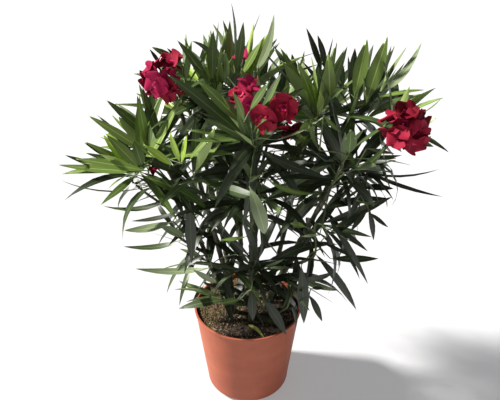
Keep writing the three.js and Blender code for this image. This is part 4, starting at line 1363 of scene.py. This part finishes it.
def compost_piece():
    """The compost that fills the pot, with a lumpy surface that sinks at its edge."""
    low, top = (corner.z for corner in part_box("compost"))
    gap = COMPOST["gap"]
    inner_heel = POT["heel"] - POT["wall"] - gap
    heel = (wall_radius(POT["heel"]) - POT["heel"] - gap, low + inner_heel)
    edge = wall_radius(top) - POT["wall"] - 2 * gap - 0.5 * POT["warp"]
    rise = top - COMPOST["edge_drop"] - low - inner_heel
    side_rows = COMPOST["side_rows"]
    side = [low + inner_heel + rise * i / side_rows for i in range(1, side_rows)]
    surface = [edge * (1 - i / COMPOST["rows"]) for i in range(1, COMPOST["rows"])]
    drop = [COMPOST["edge_drop"] * max(0.0, 1 - (edge - r) / COMPOST["edge_width"]) for r in surface]
    profile = [
        (0, low),
        *arc(heel, inner_heel, -90, 0, 5),
        *[(wall_radius(z) - POT["wall"] - 2 * gap, z) for z in side],
        (edge, top - COMPOST["edge_drop"]),
        *[(r, top - d) for r, d in zip(surface, drop)],
        (0, top),
    ]
    mesh = turned("compost_bed", profile, COMPOST["sides"])
    moss = mesh.attributes.new("moss", "FLOAT", "POINT")
    bare = mesh.attributes.new("bare", "FLOAT", "POINT")
    for vertex in mesh.vertices:
        co = vertex.co
        if co.z < top - COMPOST["edge_drop"] - 0.5 * MM:
            continue
        room = edge - math.hypot(co.x, co.y)
        co.z += compost_height(co.x, co.y) * min(1.0, room / COMPOST["edge_calm"] + 0.15)
        inside = 1.0 if room > COMPOST["bare_edge"] else 0.0
        cover = moss_cover(co.x, co.y)
        moss.data[vertex.index].value = cover * inside
        bare.data[vertex.index].value = (1 - 0.75 * cover) * inside
    mesh.materials.append(compost_finish())
    return placed("compost_bed", mesh, ["compost"])


SCRAP_LUMPS = 0.35  # how far a scrap's corners stand in or out, as a share of its size


def scrap_template(name, size, seed):
    """An irregular closed scrap, for crumbs, chips, grit, moss and straw."""
    rng = random.Random(seed)
    shell = bmesh.new()
    bmesh.ops.create_icosphere(shell, subdivisions=1, radius=1)
    for vertex in shell.verts:
        swell = 1 + rng.uniform(-SCRAP_LUMPS, SCRAP_LUMPS)
        vertex.co = Vector([place * (side * MM) for place, side in zip(vertex.co, size)]) * swell
    mesh = bpy.data.meshes.new(name)
    shell.to_mesh(mesh)
    shell.free()
    return linked(name, mesh)


def scatter_tree():
    """Scraps strewn on a surface, as thickly as an attribute of the surface says."""
    tree = Tree("strewn_scraps", Scrap="Object", Finish="Material", Cover="String", Density="Float",
                Smallest="Float", Largest="Float", Tumble="Float", Seed="Int")
    cover = tree.attribute(tree.given("Cover"))
    feeds = {
        "Mesh": tree.given("Geometry"), "Density": cover * tree.given("Density"), "Seed": tree.given("Seed"),
    }
    spots = tree.add("GeometryNodeDistributePointsOnFaces", feeds)
    turn = tree.add("FunctionNodeRandomValue", {"Min": (-1.0, -1.0, -4.0), "Max": (1.0, 1.0, 4.0)},
                    data_type="FLOAT_VECTOR")
    tumble = tree.given("Tumble")
    size = {"Min": tree.given("Smallest"), "Max": tree.given("Largest"), "Seed": tree.given("Seed")}
    scale = tree.add("FunctionNodeRandomValue", size, data_type="FLOAT")
    scrap = tree.add("GeometryNodeObjectInfo", {"Object": tree.given("Scrap")}, out="Geometry")
    feeds = {"Points": spots, "Instance": scrap, "Rotation": turn * tumble, "Scale": scale}
    strewn = tree.add("GeometryNodeInstanceOnPoints", feeds)
    strewn = tree.add("GeometryNodeRealizeInstances", {"Geometry": strewn})
    strewn = tree.add("GeometryNodeSetMaterial", {"Geometry": strewn, "Material": tree.given("Finish")})
    return tree.finish(strewn)


# Scraps on the compost: half sizes of one scrap in millimetres, where it lies, number to the square
# metre, smallest and largest scale, and how freely it tumbles.
SCRAPS = {
    "compost_crumbs": ((2.2, 1.8, 1.5), "bare", 60000, 0.5, 1.6, 3.0),
    "bark_chips": ((5.0, 2.4, 1.1), "bare", 6000, 0.4, 1.4, 0.8),
    "tan_crumbs": ((2.3, 1.8, 1.5), "moss", 42000, 0.4, 1.5, 3.0),
    "moss_tufts": ((2.0, 1.8, 1.7), "moss", 30000, 0.4, 1.4, 3.0),
    "perlite_grit": ((1.6, 1.5, 1.3), "bare", 2600, 0.5, 1.4, 3.0),
    "straw_bits": ((8.0, 0.7, 0.6), "moss", 3600, 0.4, 1.3, 0.6),
}
SCRAP_COLOURS = {  # dark and light
    "compost_crumbs": ((0.010, 0.007, 0.005), (0.06, 0.042, 0.028)),
    "bark_chips": ((0.06, 0.030, 0.014), (0.26, 0.15, 0.075)),
    "tan_crumbs": ((0.075, 0.042, 0.020), (0.34, 0.22, 0.12)),
    "moss_tufts": ((0.035, 0.035, 0.008), (0.19, 0.18, 0.045)),
    "perlite_grit": ((0.40, 0.36, 0.31), (0.76, 0.72, 0.65)),
    "straw_bits": ((0.22, 0.15, 0.07), (0.52, 0.40, 0.23)),
}


def strew(bed):
    """Strews each kind of scrap on the compost."""
    tree = scatter_tree()
    for number, (name, facts) in enumerate(SCRAPS.items()):
        size, cover, density, smallest, largest, tumble = facts
        scrap = scrap_template(name + "_one", size, SEEDS["scraps"] + number)
        finish = scrap_finish(name, *SCRAP_COLOURS[name])
        mesh = grown(name, tree, bed.data.copy(), Scrap=scrap, Finish=finish, Cover=cover,
                     Density=density, Smallest=smallest, Largest=largest, Tumble=tumble,
                     Seed=SEEDS["strewing"] + number)
        bpy.data.objects.remove(scrap)
        placed(name, mesh)


# ---- flowers ---------------------------------------------------------------------------------------
PETALS = 5
PETAL = {
    "length": 0.0220, "half_width": 0.0155, "thickness": 0.00025, "vigour": (0.92, 1.08),
    "astray": 0.06, "rise_astray": 0.09, "bend": (0.2, 0.8), "sway": (0.12, 0.06), "twist": (0.2, 0.5),
    "fold": (-0.05, 0.2), "ripple": (0.08, 0.2), "foot": 0.55, "tube": 0.016, "throat": 0.0046,
}
SCALE = {"length": 0.30, "half_width": 0.20, "pale": 0.25}  # in the throat, as shares of a petal
SEPAL = {"length": 0.006, "half_width": 0.0013, "thickness": 0.0004, "splay": 0.35}
BUD = {"length": 0.017, "radius": 0.0033, "calyx": 0.8}
STALK = {"truss": 0.0019, "flower": 0.0011, "bud": 0.0008, "steps": 4}  # radii


class Bloom:
    """Flowers, buds and their stalks, gathered from every truss."""

    def __init__(self):
        self.petals = []
        self.throats = []
        self.buds = []
        self.sepals = []
        self.stalks = []

    def flower(self, rng, centre, axis, size, tone, openness):
        """Five petals round a throat, with a ring of small scales inside."""
        length, half_width, thickness = PETAL["length"], PETAL["half_width"], PETAL["thickness"]
        start = rng.uniform(0, math.tau)
        for i in range(PETALS):
            around = start + math.tau * i / PETALS + rng.gauss(0, PETAL["astray"])
            out = outward(axis, around)
            rise = openness + rng.gauss(0, PETAL["rise_astray"])
            along = leaning(out, axis, rise)
            face = leaning(axis, -out, rise)
            span = (length * size * rng.uniform(*PETAL["vigour"]), half_width * size, thickness)
            curl = (rng.uniform(*PETAL["bend"]), rng.gauss(*PETAL["sway"]), rng.uniform(*PETAL["twist"]))
            shape = (rng.uniform(*PETAL["fold"]), rng.uniform(*PETAL["ripple"]), rng.uniform(0, math.tau))
            root = centre + out * PETAL["throat"] * PETAL["foot"] * size
            self.petals.append(Blade(root, along, face, span, curl, shape, tone))
            scale = (length * SCALE["length"] * size, half_width * SCALE["half_width"] * size, thickness)
            inner = (out * 0.45 + axis * 0.9).normalized()
            inward = (axis * 0.45 - out * 0.9).normalized()
            shade = PINK if rng.random() < SCALE["pale"] else ROSE
            self.petals.append(Blade(root, inner, inward, scale, (0.6, 0.1, 0.2), (0.3, 0.2, around), shade))
        tube = (PETAL["tube"] * size, PETAL["throat"] * size, PETAL["throat"] * size)
        foot = centre - axis * PETAL["tube"] * size * 0.94
        self.throats.append(Blade(foot, axis, square_to(axis), tube, (0.02, 0, 0), (0, 0, 0), tone))
        self.calyx(foot, axis, size)
        return foot

    def calyx(self, foot, axis, size):
        """Five short green sepals that hug the foot of a flower or bud."""
        span = (SEPAL["length"] * size, SEPAL["half_width"] * size, SEPAL["thickness"])
        for i in range(PETALS):
            out = outward(axis, math.tau * i / PETALS + 0.3)
            along = (axis + out * SEPAL["splay"]).normalized()
            face = (axis * SEPAL["splay"] - out).normalized()
            self.sepals.append(Blade(foot, along, face, span, (0.1, 0, 0), (0.2, 0, 0), LIME))

    def bud(self, rng, foot, axis, size, tone):
        """A bud with its sepals, slightly bent and twisted."""
        span = (BUD["length"] * size, BUD["radius"] * size, BUD["radius"] * size)
        curl = (rng.uniform(0.05, 0.3), 0.02, 1.2)
        self.buds.append(Blade(foot, axis, square_to(axis), span, curl, (0, 0, 0), tone))
        self.calyx(foot, axis, size * BUD["calyx"])

    def stalk(self, start, heading, goal, radius):
        """A stalk that thins a little towards its flower."""
        steps = STALK["steps"]
        path = bent_path(start, heading, goal, (goal - start).normalized(), steps)
        self.stalks.append((path, [radius * (1.15 - 0.3 * i / steps) for i in range(steps + 1)]))

    def truss(self, rng, source, centre, axis, spread, flowers, buds, tones, size):
        """A domed head: flowers looking outward all round, with buds between, on a branched stalk."""
        axis = axis.normalized()
        node = centre - axis * spread * 0.95
        self.stalk(source, (node - source).normalized(), node, STALK["truss"])
        for i in range(flowers):
            polar = math.acos(1 - (i + 0.4) / flowers * 1.15)
            way = leaning(axis, outward(axis, GOLDEN_TURN * i + rng.uniform(-0.3, 0.3)), polar)
            place = centre + way * spread * rng.uniform(0.72, 1.05)
            look = (way + axis * 0.25 + Vector([rng.gauss(0, 0.3) for _ in range(3)])).normalized()
            breadth = size * rng.uniform(0.88, 1.08)
            foot = self.flower(rng, place, look, breadth, rng.choice(tones), rng.uniform(0.15, 0.85))
            self.stalk(node, (foot - node).normalized() * 0.6 + axis * 0.4, foot, STALK["flower"])
        for i in range(buds):
            out = outward(axis, GOLDEN_TURN * (i + 0.5) * 1.7)
            way = leaning(axis, out, rng.uniform(0.2, 1.5))
            foot = centre + way * spread * rng.uniform(0.35, 0.9)
            look = (way + axis * 0.5).normalized()
            self.bud(rng, foot, look, rng.uniform(0.7, 1.1), rng.choice((CRIMSON, BLOOD, PINK)))
            self.stalk(node, axis, foot, STALK["bud"])


# Trusses: the mass each stands in, its place and lean there, its half width, flowers, buds, petal
# tones, and the size of its flowers. The blood tone on a truss is painted shade.
TRUSSES = [
    ("left_bloom", (-0.2, -0.7, 0.5), (-0.6, -0.6, 0.4), 0.021, 5, 4, (ROSE, ROSE, ROSE), 1.0),
    ("left_bloom", (0.05, -0.75, 0.25), (-0.1, -0.9, 0.0), 0.010, 2, 1, (CRIMSON, CRIMSON), 1.0),
    ("left_bloom", (0.25, -0.6, 0.85), (0.1, -0.7, 0.6), 0.006, 1, 3, (CRIMSON,), 0.9),
    ("centre_bloom", (-0.25, -0.25, 0.65), (-0.3, -0.8, 0.5), 0.018, 4, 5, (ROSE, CRIMSON, ROSE), 0.85),
    ("centre_bloom", (0.1, -0.7, 0.38), (0.0, -0.85, 0.5), 0.003, 1, 1, (CRIMSON,), 1.1),
    ("centre_bloom", (0.5, -0.45, 0.55), (0.3, -0.8, 0.3), 0.009, 2, 1, (CRIMSON, CRIMSON), 1.0),
    ("centre_bloom", (0.55, -0.4, 0.05), (0.3, -0.8, -0.4), 0.007, 2, 1, (BLOOD, BLOOD), 0.85),
    ("right_bloom", (-0.2, -0.7, 0.28), (0.05, -0.8, 0.4), 0.028, 9, 7, 3 * (CRIMSON,) + (BLOOD,), 1.0),
    ("top_centre", (-0.2, -0.45, 0.15), (-0.3, -0.6, 0.6), 0.004, 1, 2, (ROSE,), 0.7),
    ("left_front", (-0.7, 0.2, -0.3), (-0.3, -0.6, 0.5), 0.003, 1, 1, (BLOOD,), 0.7),
    ("back_top", (0.0, 0.65, -0.4), (0.0, 0.8, 0.5), 0.026, 6, 5, (CRIMSON, ROSE, CRIMSON), 1.0),
    ("back_left", (-0.3, 0.7, 0.2), (-0.5, 0.7, 0.4), 0.024, 5, 4, (CRIMSON, ROSE, CRIMSON), 1.0),
    ("back_right", (0.35, 0.75, -0.25), (0.4, 0.8, 0.4), 0.024, 5, 4, (CRIMSON, CRIMSON, BLOOD), 1.0),
]


def grow_trusses(crown):
    """All the bloom, each truss on a stalk from the wood below it."""
    bloom = Bloom()
    for number, facts in enumerate(TRUSSES):
        mass_name, place, lean, spread, flowers, buds, tones, size = facts
        mass = crown.masses[mass_name]
        rng = random.Random(SEEDS["trusses"] + number)
        below = mass.place(place[0] * 0.4, place[1] * 0.1, place[2] - 0.9)
        source = crown.nearest_wood(below)
        bloom.truss(rng, source, mass.place(*place), Vector(lean), spread, flowers, buds, tones, size)
    return bloom


# ---- floor, light and camera -----------------------------------------------------------------------
CAMERA = {"at": (0.005, -1.223, 1.215), "tilt": math.radians(59.25), "lens": 50, "sensor": 36}
KEY = {"way": (-0.80, 0.17, 0.62), "spread": math.radians(7), "power": 7.6, "colour": (1.0, 0.97, 0.92)}
FILL = {"way": (-0.25, -0.80, 0.55), "distance": 3.5, "size": 3.0, "power": 1.4, "colour": (1.0, 0.98, 0.96)}
SKY = {"colour": (0.95, 0.97, 1.0), "strength": 0.20}
# The floor is pale paper that glows a little, so that it comes out white and its shadows light.
FLOOR = {"half": 60, "colour": (0.50, 0.507, 0.527), "glow": 0.25}


def light(name, kind, facts, target):
    """A sun or an area light that shines on a target from the way its facts give."""
    lamp = bpy.data.lights.new(name, kind)
    if kind == "SUN":
        lamp.angle = facts["spread"]
    else:
        lamp.shape = "SQUARE"
        lamp.size = facts["size"]
    lamp.energy = facts["power"]
    lamp.color = facts["colour"]
    holder = linked(name, lamp)
    way = Vector(facts["way"]).normalized()
    holder.location = target + way * facts.get("distance", 5.0)
    holder.rotation_euler = way.to_track_quat("Z", "Y").to_euler()


def studio():
    """The floor, the light and the camera."""
    scene = bpy.context.scene
    corners = [(x * FLOOR["half"], y * FLOOR["half"], 0) for x, y in ((-1, -1), (1, -1), (1, 1), (-1, 1))]
    mesh = bpy.data.meshes.new("floor")
    mesh.from_pydata(corners, [], [(0, 1, 2, 3)])
    paper = new_finish("floor_paper", FLOOR["colour"], 0.9, Specular_IOR_Level=0.0,
                       Emission_Strength=FLOOR["glow"])
    paper.cycles.emission_sampling = "NONE"
    mesh.materials.append(paper)
    floor = linked("floor", mesh)
    middle = (cad_box[0] + cad_box[1]) / 2
    light("key_light", "SUN", KEY, middle)
    light("fill_light", "AREA", FILL, middle)
    world = bpy.data.worlds.new("studio")
    world.use_nodes = True
    background = world.node_tree.nodes["Background"]
    background.inputs["Color"].default_value = (*SKY["colour"], 1)
    background.inputs["Strength"].default_value = SKY["strength"]
    scene.world = world
    scene.view_settings.view_transform = "Standard"
    lens = bpy.data.cameras.new("camera")
    lens.lens = CAMERA["lens"]
    lens.sensor_width = CAMERA["sensor"]
    scene.camera = linked("camera", lens)
    scene.camera.location = CAMERA["at"]
    scene.camera.rotation_euler = (CAMERA["tilt"], 0, 0)


# ---- putting it together ---------------------------------------------------------------------------
# Tubes: the length of a step along one, its sides, the room between its leaf scars, how far they
# swell, and the depth of its grain.
TUBES = {
    "stems_and_boughs": (0.004, 14, 0.026, 0.16, 0.0012),
    "green_shoots": (0.007, 7, 0.018, 0.22, 0.0),
    "flower_stalks": (0.006, 6, 0.026, 0.0, 0.0),
}
TUBE_INPUTS = ("Step", "Sides", "Scar_spacing", "Scar_swell", "Grain")


def blade_piece(name, blades, template, tree, nodes=()):
    """A piece of leaves, petals, sepals, buds or throats."""
    mesh = grown(name, tree, blade_points(blades), Template=template)
    return placed(name, mesh, nodes)


def tube_piece(name, paths, finish, nodes=()):
    """A piece of limbs, shoots or stalks."""
    inputs = dict(zip(TUBE_INPUTS, TUBES[name]))
    mesh = grown(name, limb_tree(name + "_tubes", finish), lines_mesh(paths), **inputs)
    return placed(name, mesh, nodes)


def build():
    """Grows the plant, and sets its pieces and the pot's in the studio."""
    studio()
    masses = read_masses()
    stems, boughs = read_limbs(masses)
    crown = Crown(masses)
    for number, limb in enumerate(stems + boughs):
        crown.fill(limb, SEEDS["shoots"] + number)
        crown.clothe(limb, SEEDS["old_leaves"] + number)
    crown.lone_leaves()
    bloom = grow_trusses(crown)

    pot_piece()
    strew(compost_piece())
    limbs = [(limb.points, limb.radii) for limb in stems + boughs]
    tube_piece("stems_and_boughs", limbs, bark_finish(), [limb.name for limb in stems + boughs])
    green = shoot_finish()
    tube_piece("green_shoots", crown.shoots, green)
    tube_piece("flower_stalks", bloom.stalks, green)

    leaf = leaf_template()
    leaf_tree = blade_tree("leaf_growth", leaf_finishes(), ripples=9.0)
    for slot, leaves in crown.leaves.items():
        nodes = [mass.node for mass in masses.values() if mass.slot == slot]
        blade_piece("foliage_" + slot.removeprefix("leaf_"), leaves, leaf, leaf_tree, nodes)
    petal = petal_template()
    petal_tree = blade_tree("petal_growth", petal_finishes(), ripples=11.0)
    blade_piece("petals", bloom.petals, petal, petal_tree)
    bud = bud_template()
    blade_piece("flower_buds", bloom.buds, bud, petal_tree)
    blade_piece("sepals", bloom.sepals, leaf, leaf_tree)
    throat = throat_template()
    blade_piece("flower_throats", bloom.throats, throat, petal_tree)
    for template in (leaf, petal, bud, throat):
        bpy.data.objects.remove(template)


build()
